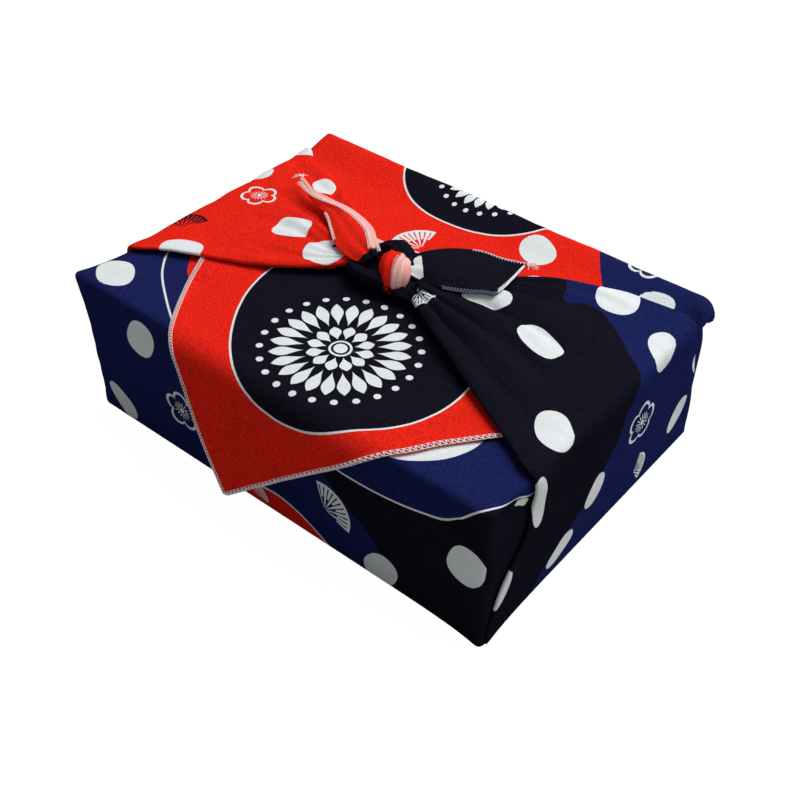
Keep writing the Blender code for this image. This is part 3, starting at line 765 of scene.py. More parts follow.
def flap_surface():
    """The back corner, and the length of each of its rows from the tip. A row runs from the left hem to
    the right one, whose tables give its ends, and past the right one it is wound into the ear's roll. It
    carries slow unevenness, a light lift along its hems and at its tip, and three faint creases drawn to
    the knot."""
    run, y, z, out_y, out_z, bent = flap_profile(FLAP_STEP)
    share = np.linspace(0, 1, FLAP_COLUMNS)[None]
    left = hem_line(LEFT_HEM, run)
    rolled = (ease(y, 0.074, 0.088) * ease(z, 0.080, 0.088))[:, None]
    right = hem_line(RIGHT_HEM, run) + (ROLL_X + ROLL_LENGTH - RIGHT_HEM[-1][1]) * rolled
    x = left + (right - left) * share
    grid = np.stack([x, y[:, None] + 0 * x, z[:, None] + 0 * x], -1)
    out = np.stack([0 * x, out_y[:, None] + 0 * x, out_z[:, None] + 0 * x], -1)
    u = x
    v = BEND_START_Y + (run - bent)[:, None] + 0 * x
    hem = np.minimum(x - left, right - x) * 0.75
    loose = 1 - ease(run, 0.10, 0.17)[:, None]
    hanging = 1 - ease(run, HANG - 0.01, HANG + 0.02)[:, None]
    lift = waves(u, v, FLAP_WAVES)
    lift += loose * 0.00035 * bell(hem, 0.0016, 0.0018)
    lift += hanging * 0.0010 * bell(hem, 0.0, 0.012) * (0.5 + 0.5 * ripples(u, v, 0.035, 23))
    lift += 0.0008 * bell(x, -0.012, 0.030) * (1 - ease(run, 0.0, 0.035)[:, None])
    for start_x, slope, height in CREASES:
        line = start_x + slope * (KNOT_FRONT_Y - y[:, None])
        lift += height * bell(y[:, None], -0.030, 0.030) * bell(x, line, 0.004)
    rested = ease(run, 0.30, 0.36)[:, None]
    grid = grid + out * (lift * (1 - rested))[..., None]
    grid = grid + puffed(np.minimum(grid, (ROLL_X, 1, 1))) + ear_hollow(grid, EAR_IN_FLAP)
    turn = np.maximum(x - ROLL_X, 0) / ROLL_RADIUS
    grid[..., 0] += ROLL_RADIUS * (np.sin(turn) - turn)
    grid[..., 2] -= ROLL_RADIUS * (1 - np.cos(turn))
    return grid, (u, v), run


def fold_heights(folds, across, drawn):
    """Height of the folds at a place across a band: bells across it, whose height goes from one value at
    the parcel's end to another towards the knot, and fades at the knot itself."""
    past = np.maximum(drawn - FOLD_PEAK, 0.0)
    grown = np.minimum(drawn / FOLD_PEAK, 1.0) ** 1.5 * (1 - FOLD_FADE * past / (1 - FOLD_PEAK))
    height = np.zeros(np.broadcast(across, drawn).shape)
    for place, half_width, near_knot, at_end in folds:
        height += bell(across, place, half_width) * (at_end * (1 - drawn) + near_knot * grown)
    return height


def band_surface(side, rise, table, folds, seed):
    """A side corner: key rows up the end wall, round the upper edge and over the top to the knot, joined
    by cubics along the cloth, with its folds and unevenness laid on along the normals. Its borders are
    turned under: each is half a circle about a line just below the border, and a strip that follows the
    face back beneath it."""
    across = np.linspace(0, 1, BAND_COLUMNS)
    keys, drawn_keys = [], []
    for z, front, back in rise[:-1]:
        y = front + (back - front) * across
        keys.append(np.column_stack([side * (BAND_OUT + 0 * y), y, z + 0 * y]))
        drawn_keys.append(0.0)
    _, front, back = rise[-1]
    y = front + (back - front) * across
    for i in range(4):
        turn = math.pi / 2 * i / 3
        x = BAND_OUT - BAND_BEND * (1 - math.cos(turn))
        z = BAND_TOP - BAND_BEND * (1 - math.sin(turn))
        keys.append(np.column_stack([side * x + 0 * y, y, z + 0 * y]))
        drawn_keys.append(0.0)
    for i, (x, front, back, lift) in enumerate(table):
        drawn = (i + 1) / len(table)
        y = front + (back - front) * across
        arch = BAND_ARCH * drawn**3 * np.sqrt(np.maximum(1 - (2 * across - 1) ** 2, 0))
        keys.append(np.column_stack([x + 0 * y, y, BAND_TOP + lift + arch]))
        drawn_keys.append(drawn)
    keys, drawn_keys = np.array(keys), np.array(drawn_keys)
    run = length_along(keys[:, BAND_COLUMNS // 2])
    at = np.linspace(0, run[-1], int(run[-1] / BAND_STEP))
    grid = through(keys, run, at)
    drawn = np.interp(at, run, drawn_keys)[:, None]
    wall = ease(grid[..., 2], 0.004, 0.030)
    u = grid[..., 0] + side * np.maximum(HEIGHT - grid[..., 2], 0)
    v = grid[..., 1]
    out = normals(grid) * side
    lift = fold_heights(folds, across[None], drawn) * wall
    lift += waves(u, v, BAND_WAVES, seed) * wall
    turns = GATHERS * across[None] + 0.8 * ripples(u, v, 0.09, seed + 2)
    gathers = GATHER_HEIGHT * np.cos(2 * math.pi * turns)
    lift += gathers * ease(drawn, 0.05, 0.5) * (1 - ease(drawn, 0.85, 1.0))
    grid = grid + out * lift[..., None]
    out = normals(grid) * side
    radius = BORDER_RADIUS + BORDER_GAIN * ease(drawn, 0.1, 0.9)
    rolled, places_u, places_v = [], [], []
    for edge, step in ((0, 1), (-1, -1)):
        inward = unit(grid[:, edge + step] - grid[:, edge])
        for i in range(1, HEM_STEPS + TUCK_STEPS):
            bend, under = math.pi * min(i, HEM_STEPS) / HEM_STEPS, max(i - HEM_STEPS, 0)
            start, up = grid[:, edge + step * under], out[:, edge + step * under]
            rolled.append(start - inward * (radius * math.sin(bend)) - up * (radius * (1 - math.cos(bend))))
            gone = radius[:, 0] * bend + TUCK_STEP * under
            places_u.append(u[:, edge])
            places_v.append(v[:, edge] - step * gone)
    half = HEM_STEPS + TUCK_STEPS - 1
    grid, u, v = (
        np.concatenate([np.stack(added[:half][::-1], 1), face, np.stack(added[half:], 1)], 1)
        for added, face in ((rolled, grid), (places_u, u), (places_v, v))
    )
    grid = grid + puffed(grid)
    if side < 0:
        grid, u, v = grid[:, ::-1], u[:, ::-1], v[:, ::-1]
    return grid, (u, v)


def strand_surface(table):
    """A strand of the knot: an oval section carried along its curve and turned as the table says, whose
    radius swells and dips in lengthwise pleats that wander slowly round it."""
    rows = smooth_curve(table, STRAND_ROWS)
    middle = rows[:, :3] + (0, 0, HEIGHT)
    along = unit(np.gradient(middle, axis=0))
    across = unit(np.cross(along, rows[:, 3:6]))
    outward = np.cross(across, along)
    turn = np.linspace(0, 2 * math.pi, STRAND_SIDES, endpoint=False)[None]
    length = np.linspace(0, 1, STRAND_ROWS)[:, None]
    pleats = sum(
        height * np.cos(count * turn + wind * length + start) for height, count, wind, start in STRAND_PLEATS
    )
    swell = 1 + pleats * ease(length, 0, 0.05) * (1 - ease(length, 0.95, 1))
    grid = (
        middle[:, None]
        + across[:, None] * (rows[:, 6:7] * np.cos(turn) * swell)[..., None]
        + outward[:, None] * (rows[:, 7:8] * np.sin(turn) * swell)[..., None]
    )
    return grid, turn + 0 * length, length + 0 * turn


def end_surface(table):
    """A free end, from its front border to its back one: cubics through the borders, joined by a crown
    that is the sine of the share across times its height, with a few soft lengthwise pleats. Its place is
    the share along it and the length across it from the back border."""
    curve = smooth_curve(table, END_ROWS)
    share = np.linspace(0, 1, END_COLUMNS)[None, ::-1]
    back = (curve[:, :3] + (0, 0, HEIGHT))[:, None]
    front = (curve[:, 3:6] + (0, 0, HEIGHT))[:, None]
    grid = back + (front - back) * share[..., None]
    length = np.linspace(0, 1, END_ROWS)[:, None]
    crown = curve[:, 6:7] * np.sin(np.pi * share)
    wander = 0.12 * np.sin(5 * length + 1)
    pleats = 0.0005 * np.cos(2 * math.pi * (2.5 * share + wander)) * np.sin(np.pi * share)
    grid[..., 2] += crown + pleats * (1 - 0.6 * length)
    width = np.linalg.norm(front - back, axis=-1)
    return grid, length + 0 * share, share * width


def strand_print(turn, length, red):
    """The ink of a strand, and the share of wrong side that shows. The red one is black up to where
    it dips under the other, and shows its wrong side on one flank of its bight."""
    empty = unprinted(turn)
    if not red:
        white = np.minimum(np.hypot((length - 0.43) * 0.07, (turn - 1.9) * 0.004) - 0.0022, empty)
        return (empty, -empty, white, empty), 0.0 * turn
    black = (length - 0.39) * 0.07
    edge = 0.16 + 0.24 * ease(length, 0.42, 0.62)
    wrong = ease(length, 0.43, 0.47) * ease(np.cos(turn - 0.4), edge, edge + 0.06)
    return (-empty, black, empty, empty), wrong


def end_print(length, across, red):
    """The ink of a free end, and the share of wrong side that shows: the red one's back border is turned
    up into a pale ribbon, and the black one has a white mark by the knot."""
    empty = unprinted(length)
    if red:
        black = (length - 0.07) * 0.06
        ribbon = ease(length, 0.06, 0.09) * (1 - ease(across, RIBBON - 0.0003, RIBBON + 0.0001))
        return (-empty, black, empty, empty), ribbon
    mark = np.maximum(np.maximum(length - 0.21, 0.02 - length) * 0.06, 0.0048 - across)
    return (empty, -empty, mark, empty), 0.0 * length


def threads(name, paths, radius, finish):
    """Round threads, each along a path of points: a circle of the radius stands square to the path at
    each of its points. Paths is an array of threads, points and xyz."""
    count, points = paths.shape[:2]
    along = unit(np.gradient(paths, axis=1))
    guide = np.where(np.abs(along[..., 2:3]) > 0.9, (1.0, 0.0, 0.0), (0.0, 0.0, 1.0))
    across = unit(np.cross(along, guide))
    outward = np.cross(across, along)
    turn = np.linspace(0, 2 * math.pi, THREAD_SIDES, endpoint=False)[None, None, :, None]
    rings = paths[:, :, None] + radius * (
        across[:, :, None] * np.cos(turn) + outward[:, :, None] * np.sin(turn)
    )
    one = np.array(quads(points, THREAD_SIDES, True))
    faces = (one[None] + (np.arange(count) * points * THREAD_SIDES)[:, None, None]).reshape(-1, 4).tolist()
    first = np.arange(THREAD_SIDES)[None] + (np.arange(count) * points * THREAD_SIDES)[:, None]
    faces += first[:, ::-1].tolist() + (first + (points - 1) * THREAD_SIDES).tolist()
    mesh = bpy.data.meshes.new(name)
    mesh.from_pydata(rings.reshape(-1, 3).tolist(), [], faces)
    work = bmesh.new()
    work.from_mesh(mesh)
    bmesh.ops.recalc_face_normals(work, faces=work.faces)
    work.to_mesh(mesh)
    work.free()
    return add_smooth(name, mesh, finish)


def hem_paths(edge, inner, up, pitch, width, height):
    """The threads of an overlocked hem. One goes out and back between the hem's edge and a line inside it
    once to a pitch, as a triangle wave with cut tips; one runs along the edge and one along the inner
    line. Edge is the hem's line of points, inner the way into the cloth from each, and up the way out of
    its face."""
    run = length_along(edge)
    at = np.arange(0, run[-1], pitch / STITCH_POINTS)
    here = np.column_stack([np.interp(at, run, edge[:, k]) for k in range(3)])
    way = unit(np.column_stack([np.interp(at, run, inner[:, k]) for k in range(3)]))
    out = unit(np.column_stack([np.interp(at, run, up[:, k]) for k in range(3)]))
    phase = (np.arange(len(at)) % STITCH_POINTS) / STITCH_POINTS
    swing = np.clip(1.3 * np.abs(2 * phase - 1) - 0.15, 0, 1)[:, None]
    over = height * (0.6 + 0.5 * np.sin(np.pi * swing))
    crossing = here + way * (width * swing - 0.0002) + out * over
    rim = here - way * 0.0001 + out * (0.6 * height)
    needle = here + way * (width + 0.0002) + out * (0.5 * height)
    return crossing[None], rim[None, ::3], needle[None, ::3]


def loose_threads(tip, out, count, reach, seed):
    """Thread tails at a tip: each leaves it in its own direction and turns aside as it goes, and rises and
    sinks as a parabola."""
    draw = np.random.default_rng(seed)
    share = np.linspace(0, 1, TAIL_POINTS)[None, :, None]
    heading = math.atan2(out[1], out[0]) + draw.uniform(-TAIL_TURN, TAIL_TURN, (count, 1, 1))
    length = reach * draw.uniform(0.5, 1.0, (count, 1, 1))
    bend = draw.uniform(-TAIL_TURN, TAIL_TURN, (count, 1, 1)) * share
    x = tip[0] + length * share * np.cos(heading + bend)
    y = tip[1] + length * share * np.sin(heading + bend)
    z = tip[2] + length * (draw.uniform(0.1, 0.5, (count, 1, 1)) * share - 0.5 * share**2)
    return np.concatenate([x, y, z], 2)


def hem_row(grid, out, rows, column, step):
    """A border's points on a grid, with the way into the cloth from each and the way out of its face."""
    edge = grid[rows, column]
    inner = unit(grid[rows, column + step] - edge)
    return edge, inner, out[rows, column]


def feed(tree, socket, value):
    if isinstance(value, bpy.types.NodeSocket):
        tree.links.new(value, socket)
    else:
        socket.default_value = value


def calc(tree, operation, *values, clamp=False):
    """A math node on these sockets or numbers."""
    node = tree.nodes.new("ShaderNodeMath")
    node.operation = operation
    node.use_clamp = clamp
    for socket, value in zip(node.inputs, values):
        feed(tree, socket, value)
    return node.outputs[0]


def blend_colours(tree, share, below, above):
    node = tree.nodes.new("ShaderNodeMix")
    node.data_type = "RGBA"
    feed(tree, node.inputs["Factor"], share)
    feed(tree, node.inputs["A"], below)
    feed(tree, node.inputs["B"], above)
    return node.outputs["Result"]


def inked(tree, distance, edge=0.25 * MM):
    """1 where the distance is below 0, 0 where it is above, with a soft edge as wide as ink spreads."""
    return calc(tree, "MULTIPLY_ADD", distance, -1 / edge, 0.5, clamp=True)


def polar(tree, place, middle, size, turn):
    """The radius, in sizes, and the angle round a motif's middle."""
    mapping = tree.nodes.new("ShaderNodeMapping")
    mapping.vector_type = "TEXTURE"
    feed(tree, mapping.inputs["Vector"], place)
    mapping.inputs["Location"].default_value = (middle[0], middle[1], 0)
    mapping.inputs["Rotation"].default_value = (0, 0, turn)
    mapping.inputs["Scale"].default_value = (size, size, 1)
    length = tree.nodes.new("ShaderNodeVectorMath")
    length.operation = "LENGTH"
    tree.links.new(mapping.outputs[0], length.inputs[0])
    split = tree.nodes.new("ShaderNodeSeparateXYZ")
    tree.links.new(mapping.outputs[0], split.inputs[0])
    return length.outputs["Value"], calc(tree, "ARCTAN2", split.outputs["Y"], split.outputs["X"])


def between(tree, value, low, high):
    """1 where the value lies between two others."""
    return calc(
        tree, "MULTIPLY", calc(tree, "GREATER_THAN", value, low), calc(tree, "LESS_THAN", value, high)
    )


def any_of(tree, *marks):
    """1 where at least one mark is."""
    shown = marks[0]
    for mark in marks[1:]:
        shown = calc(tree, "MAXIMUM", shown, mark)
    return shown


def folded(tree, angle, count, shift=0.0):
    """The way round a motif, folded into this many equal parts: the place in a part, from 0 to 1."""
    turn = calc(tree, "MULTIPLY_ADD", angle, count / (2 * math.pi), shift)
    return calc(tree, "FRACT", turn)


def petals(tree, radius, angle, count, inner, outer, fill):
    """A ring of petals: the angle round the ring is folded into one petal, and a petal is filled where its
    half width is more than the way from its middle. The half width is a half sine of a power of the way
    from the petal's root to its tip."""
    away = calc(tree, "ABSOLUTE", calc(tree, "SUBTRACT", folded(tree, angle, count), 0.5))
    way = calc(tree, "DIVIDE", calc(tree, "SUBTRACT", radius, inner), outer - inner, clamp=True)
    bulge = calc(tree, "SINE", calc(tree, "MULTIPLY", calc(tree, "POWER", way, 1.35), math.pi))
    filled = calc(tree, "LESS_THAN", away, calc(tree, "MULTIPLY", bulge, fill / 2))
    return calc(tree, "MULTIPLY", filled, between(tree, radius, inner, outer))


def rosette(tree, radius, angle):
    """A flower head: rings of long and short petals round a ringed disc, and a ring of beads."""
    off = calc(tree, "SUBTRACT", radius, 0.97)
    away = calc(tree, "SUBTRACT", folded(tree, angle, 24, 0.5), 0.5)
    arc = calc(tree, "MULTIPLY", away, 0.97 * 2 * math.pi / 24)
    bead = calc(tree, "ADD", calc(tree, "MULTIPLY", arc, arc), calc(tree, "MULTIPLY", off, off))
    return any_of(
        tree,
        petals(tree, radius, angle, 24, 0.44, 0.86, 0.86),
        petals(tree, radius, angle, 12, 0.17, 0.42, 0.88),
        calc(tree, "LESS_THAN", radius, 0.085),
        between(tree, radius, 0.115, 0.145),
        calc(tree, "LESS_THAN", bead, 0.045**2),
    )


def plum(tree, radius, angle):
    """A plum blossom in line: five round petals as a lobed outline, stamens and a disc."""
    lobe = calc(tree, "ABSOLUTE", calc(tree, "COSINE", calc(tree, "MULTIPLY", angle, 2.5)))
    reach = calc(tree, "MULTIPLY_ADD", calc(tree, "POWER", lobe, 0.55), 0.34, 0.62)
    off = calc(tree, "ABSOLUTE", calc(tree, "SUBTRACT", radius, reach))
    away = calc(tree, "ABSOLUTE", calc(tree, "SUBTRACT", folded(tree, angle, 15), 0.5))
    spoke = calc(tree, "LESS_THAN", calc(tree, "MULTIPLY", away, radius), 0.055)
    stamens = calc(tree, "MULTIPLY", spoke, between(tree, radius, 0.2, 0.48))
    return any_of(tree, calc(tree, "LESS_THAN", off, 0.075), stamens, calc(tree, "LESS_THAN", radius, 0.13))


def fan(tree, radius, angle):
    """An open folding fan: a sector with a solid rim, its leaf pleated in stripes, and ribs below it."""
    spread = calc(tree, "LESS_THAN", calc(tree, "ABSOLUTE", angle), 1.12)
    stripe = calc(tree, "GREATER_THAN", calc(tree, "FRACT", calc(tree, "MULTIPLY", angle, 5.0)), 0.30)
    leaf = calc(tree, "MULTIPLY", stripe, between(tree, radius, 0.50, 0.90))
    rib = calc(tree, "GREATER_THAN", calc(tree, "FRACT", calc(tree, "MULTIPLY", angle, 2.5)), 0.62)
    ribs = calc(tree, "MULTIPLY", rib, between(tree, radius, 0.08, 0.50))
    shown = any_of(tree, leaf, between(tree, radius, 0.90, 1.0), ribs)
    return calc(tree, "MULTIPLY", shown, spread)


MOTIF_MAKERS = {"rosette": rosette, "plum": plum, "fan": fan, "dark_fan": fan}


def noise(tree, place, scale, detail, roughness=0.5):
    node = tree.nodes.new("ShaderNodeTexNoise")
    feed(tree, node.inputs["Vector"], place)
    node.inputs["Scale"].default_value = scale
    node.inputs["Detail"].default_value = detail
    node.inputs["Roughness"].default_value = roughness
    return node.outputs["Fac"]


def scaled(tree, colour, share):
    """A colour times a number."""
    node = tree.nodes.new("ShaderNodeVectorMath")
    node.operation = "SCALE"
    tree.links.new(colour, node.inputs[0])
    tree.links.new(share, node.inputs["Scale"])
    return node.outputs[0]


def colour_of(value, share=1.0):
    return (*(part * share for part in value), 1.0)


def new_finish(name):
    """A material, with its node tree, its shader and the object's own coordinates."""
    made = bpy.data.materials.new(name)
    made.use_nodes = True
    tree = made.node_tree
    return made, tree, tree.nodes["Principled BSDF"], tree.nodes.new("ShaderNodeTexCoord").outputs["Object"]


def attribute_parts(tree, name):
    """The three numbers that a piece's attribute carries."""
    source = tree.nodes.new("ShaderNodeAttribute")
    source.attribute_name = name
    split = tree.nodes.new("ShaderNodeSeparateXYZ")
    tree.links.new(source.outputs["Vector"], split.inputs[0])
    return split.outputs


def raise_up(tree, shader, height, strength, distance):
    """Bump on a shader."""
    bump = tree.nodes.new("ShaderNodeBump")
    bump.inputs["Strength"].default_value = strength
    bump.inputs["Distance"].default_value = distance
    tree.links.new(height, bump.inputs["Height"])
    tree.links.new(bump.outputs[0], shader.inputs["Normal"])


def cloth_finish(name, colours, motifs):
    """Printed polyester crepe. The inks are laid over each other by the piece's distances, with motifs on
    the print's own places; speckle and bump give the crepe's grain, and the speckle in the colour is also
    partly painted glints for its glitter."""
    made, tree, shader, own = new_finish(name)
    inks, details = attribute_parts(tree, "ink"), attribute_parts(tree, "detail")
    place = tree.nodes.new("ShaderNodeUVMap")
    place.uv_map = "print"
    inks_used = (colours.navy, colours.red, colours.black, colours.white)
    navy, red, black, white = (colour_of(c) for c in inks_used)
    colour = blend_colours(tree, inked(tree, inks["X"]), navy, red)
    colour = blend_colours(tree, inked(tree, inks["Y"]), colour, black)
    grain_and_glints = noise(tree, own, GRAIN_AND_GLINT_SCALE, 4, 0.75)
    # Speckle on the navy, red and black: the crepe's grain, and partly painted glints for its glitter
    colour = scaled(tree, colour, calc(tree, "MULTIPLY", grain_and_glints, 2.0))
    off = calc(tree, "ABSOLUTE", details["X"])
    line = inked(tree, calc(tree, "SUBTRACT", off, LINE_WIDTH / 2))
    colour = blend_colours(tree, line, colour, white)
    for kind, rows in motifs.items():
        for u, v, size, turn in rows:
            radius, angle = polar(tree, place.outputs[0], (u * MM, v * MM), size * MM, math.radians(turn))
            mark = MOTIF_MAKERS[kind](tree, radius, angle)
            colour = blend_colours(tree, mark, colour, black if kind == "dark_fan" else white)
    colour = blend_colours(tree, inked(tree, inks["Z"]), colour, white)
    pale = blend_colours(tree, PALENESS, colour, colour_of(colours.pale))
    colour = blend_colours(tree, details["Y"], colour, pale)
    cloud = noise(tree, own, CLOUD_SCALE, 2)
    # The speckle again over all the inks, with a slow clouding: random tone of the crepe, and painted glints
    # in the speckle
    grain_tone_and_glints = calc(tree, "MULTIPLY_ADD", grain_and_glints, 0.6, 0.70)
    grain_tone_and_glints = calc(tree, "MULTIPLY", grain_tone_and_glints, calc(tree, "MULTIPLY_ADD", cloud, 0.16, 0.93))
    tree.links.new(scaled(tree, colour, grain_tone_and_glints), shader.inputs["Base Color"])
    weave = calc(tree, "ADD", noise(tree, own, WEAVE_SCALE, 2, 0.6), calc(tree, "MULTIPLY", grain_and_glints, 0.4))
    raise_up(tree, shader, weave, 0.5, 0.0004)
    rough = calc(tree, "MULTIPLY_ADD", grain_and_glints, 0.20, 0.50)
    tree.links.new(rough, shader.inputs["Roughness"])
    shader.inputs["Specular IOR Level"].default_value = 0.0
    return made


def thread_finish(name, colour):
    """Spun polyester thread: a fine noise shades and roughens it as its plies would, with a soft sheen."""
    made, tree, shader, own = new_finish(name)
    plies = noise(tree, own, PLY_SCALE, 2)
    shade = calc(tree, "MULTIPLY_ADD", plies, 0.6, 0.60, clamp=True)
    tint = blend_colours(tree, shade, colour_of(colour, 0.4), colour_of(colour))
    tree.links.new(tint, shader.inputs["Base Color"])
    raise_up(tree, shader, plies, 0.5, 0.0002)
    shader.inputs["Roughness"].default_value = 0.55
    shader.inputs["Sheen Weight"].default_value = 0.6
    return made


def card_finish(colour):
    """Plain brown card: fibres as stretched noise in its colour and its bump."""
    made, tree, shader, own = new_finish("card")
    stretch = tree.nodes.new("ShaderNodeMapping")
    stretch.inputs["Scale"].default_value = (1, 4, 4)
    tree.links.new(own, stretch.inputs["Vector"])
    fibre = noise(tree, stretch.outputs[0], FIBRE_SCALE, 5, 0.7)
    tint = blend_colours(tree, fibre, colour_of(colour, 0.75), colour_of(colour))
    tree.links.new(tint, shader.inputs["Base Color"])
    raise_up(tree, shader, fibre, 0.3, 0.0003)
    shader.inputs["Roughness"].default_value = 0.82
    return made


# The stage: the floor's half width, its glow for the camera and the glow's share, and the sky's strength
FLOOR_REACH = 6.0
GLOW, GLOW_SHARE = 1.12, 0.88
SKY = 0.24
# The lights, and where they point. Columns: name, place, size, power
LIGHTS = (("top_light", (0.25, 0.75, 1.6), 1.2, 31.0), ("side_light", (1.6, 0.5, 0.7), 0.9, 4.5))
LIGHTS_AIM = (0, 0, 0.05)
# The camera: azimuth, elevation and roll in degrees, focal length in mm, and place in parcel lengths
CAMERA_ANGLES = (38.247, 41.329, 1.494)
CAMERA_LENS = 53.906
CAMERA_PLACE = (1.16994239, -1.4590869, 1.6950944)

# The panel's lengths, in metres. Columns: name, label, what it is, value, least, most
LENGTHS = (
    ("cloth", "Cloth", "Thickness of the cloth", 0.0009, 0.0004, 0.0015),
    ("hem", "Hem", "Width of the overlocked hem", 0.0028, 0.002, 0.006),
    ("pitch", "Stitch pitch", "Length of one stitch along the hem", 0.0026, 0.0015, 0.005),
    ("thread", "Thread", "Radius of the hem's thread", 0.00027, 0.0001, 0.0008),
)
# Its colours. Columns: name, label, what it is, value
COLOURS = (
    ("navy", "Navy", "The ground of the print", (0.0105, 0.0155, 0.082)),
    ("red", "Red", "The red ink", (0.72, 0.0185, 0.0095)),
    ("black", "Black", "The blue black ink", (0.0075, 0.0072, 0.0135)),
    ("white", "White", "The unprinted cloth", (0.69, 0.725, 0.735)),
    ("pale", "Wrong side", "The cloth's wrong side", (0.86, 0.62, 0.56)),
    ("thread", "Thread", "The hem's thread", (0.95, 0.86, 0.87)),
    ("dark_thread", "Dark thread", "The dark hem's thread", (0.10, 0.12, 0.22)),
    ("card", "Card", "The gift box", (0.62, 0.50, 0.36)),
)


class FuroshikiSizes(bpy.types.PropertyGroup):
    __annotations__ = {
        key: bpy.props.FloatProperty(
            name=label,
            description=words,
            default=value,
            min=low,
            max=high,
            subtype="DISTANCE",
            unit="LENGTH",
        )
        for key, label, words, value, low, high in LENGTHS
    }


class FuroshikiColours(bpy.types.PropertyGroup):
    __annotations__ = {
        key: bpy.props.FloatVectorProperty(name=label, description=words, default=value, subtype="COLOR")
        for key, label, words, value in COLOURS
    }


def sizes():
    return bpy.context.scene.furoshiki_sizes


def colours():
    return bpy.context.scene.furoshiki_colours


def dress(piece):
    """A piece of the cloth rides on the part and stands for its solid."""
    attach(piece, "root")
    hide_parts("furoshiki")
    return piece


class FuroshikiSkin(bpy.types.Operator):
    """The layer of the cloth that lies next to the box"""

    bl_idname = "furoshiki.skin"
    bl_label = "Skin"

    def execute(self, context):
        grid, place = skin_surface()
        finish = cloth_finish("skin_print", colours(), SKIN_MOTIFS)
        made = grid_piece("wrap_skin", grid, place, skin_print(*place), 0.0, finish, closed=True, caps=(0,))
        thicken(made, sizes().cloth, -1.0)
        dress(made)
        return {"FINISHED"}


class FuroshikiFlap(bpy.types.Operator):
    """The back corner, which comes over the top and hangs down the front, with its hems' threads"""

    bl_idname = "furoshiki.flap"
    bl_label = "Back corner"

    def execute(self, context):
        grid, place, run = flap_surface()
        finish = cloth_finish("flap_print", colours(), FLAP_MOTIFS)
        made = grid_piece("back_corner", grid, place, flap_print(*place), 0.0, finish)
        thicken(made, sizes().cloth, 0.0)
        dress(made)
        out = normals(grid)
        stitches = thread_finish("hem_thread", colours().thread)
        for name, column, step, last, pitch, width, shares in FLAP_HEMS:
            line = hem_row(grid, out, run < last, column, step)
            lines = hem_paths(*line, sizes().pitch * pitch, sizes().hem * width, sizes().cloth)
            for kind, paths, share in zip(("crossing", "rim", "needle"), lines, shares):
                piece = threads(f"{name}_hem_{kind}", paths, sizes().thread * share, stitches)
                dress(piece)
        return {"FINISHED"}


class FuroshikiBands(bpy.types.Operator):
    """The side corners, drawn up over the ends of the box and gathered to the knot"""

    bl_idname = "furoshiki.bands"
    bl_label = "Side corners"

    def execute(self, context):
        for name, side, rise, table, folds, seed, ink, motifs in (
            ("left_band", -1, LEFT_RISE, LEFT_BAND, LEFT_FOLDS, 31, left_print, LEFT_MOTIFS),
            ("right_band", 1, RIGHT_RISE, RIGHT_BAND, RIGHT_FOLDS, 41, right_print, RIGHT_MOTIFS),
        ):
            grid, place = band_surface(side, rise, table, folds, seed)
            finish = cloth_finish(f"{name}_print", colours(), motifs)
            made = grid_piece(name, grid, place, ink(*place), 0.0, finish)
            thicken(made, sizes().cloth * BAND_CLOTH, 0.0)
            dress(made)
        return {"FINISHED"}


class FuroshikiKnot(bpy.types.Operator):
    """The two strands of the square knot, with the stitched border that shows on the red one"""

    bl_idname = "furoshiki.knot"
    bl_label = "Knot"

    def execute(self, context):
        finish = cloth_finish("strand_print", colours(), NO_MOTIFS)
        light = thread_finish("knot_thread", colours().thread)
        for name, table, red in (("left_strand", LEFT_STRAND, True), ("right_strand", RIGHT_STRAND, False)):
            grid, turn, length = strand_surface(table)
            ink, wrong = strand_print(turn, length, red)
            caps = (0, STRAND_ROWS - 1)
            made = grid_piece(name, grid, (length, turn), ink, wrong, finish, closed=True, caps=caps)
            dress(made)
            if red:
                out = -normals(grid)
                for mark, column in KNOT_SEAMS:
                    line = hem_row(grid, out, KNOT_SEAM_ROWS, column, -1)
                    raised = sizes().cloth * KNOT_RAISE
                    crossing, _, needle = hem_paths(*line, KNOT_PITCH, KNOT_WIDTH, raised)
                    for kind, path in (("crossing", crossing), ("needle", needle)):
                        dress(threads(f"knot_{mark}_{kind}", path, KNOT_THREAD, light))
        return {"FINISHED"}


class FuroshikiEnds(bpy.types.Operator):
    """The two free ends of the tie, with their hems' threads and loose thread tails"""

    bl_idname = "furoshiki.ends"
    bl_label = "Free ends"

    def execute(self, context):
        finish = cloth_finish("end_print", colours(), NO_MOTIFS)
        light = thread_finish("end_thread", colours().thread)
        dark = thread_finish("dark_thread", colours().dark_thread)
        for name, table, red, hems in (
            ("left_end", LEFT_END, True, LEFT_END_HEMS),
            ("right_end", RIGHT_END, False, RIGHT_END_HEMS),
        ):
            grid, length, across = end_surface(table)
            ink, wrong = end_print(length, across, red)
            made = grid_piece(name, grid, (length, across), ink, wrong, finish)
            thicken(made, sizes().cloth, 0.0)
            dress(made)
            out = normals(grid)
            out = out * np.sign(out[..., 2:3])
            back, inward, face = hem_row(grid, out, slice(None), -1, -1)
            front = hem_row(grid, out, slice(None), 0, 1)
            ribbon = back + inward * (RIBBON - 0.0003)
            borders = {"ribbon": (ribbon, inward, face), "border": (back, inward, face)}
            borders["back"] = borders["border"]
            pitch, raised = sizes().pitch * END_PITCH, sizes().cloth * END_RAISE
            radius = sizes().thread * END_THREAD
            for mark, first, last, width, is_dark in hems:
                line = [part[first:last] for part in borders.get(mark, front)]
                crossing, rim, needle = hem_paths(*line, pitch, width, raised)
                outer = needle if mark == "ribbon" else rim
                for kind, path in (("crossing", crossing), ("outer", outer)):
                    thread = dark if is_dark else light
                    dress(threads(f"{name}_{mark}_{kind}", path, radius, thread))
            tip = back[-1]
            tails = loose_threads(tip, tip - back[-8], TAIL_COUNT, TAIL_REACH, 3 if red else 4)
            dress(threads(f"{name}_tails", tails, radius, light))
        return {"FINISHED"}


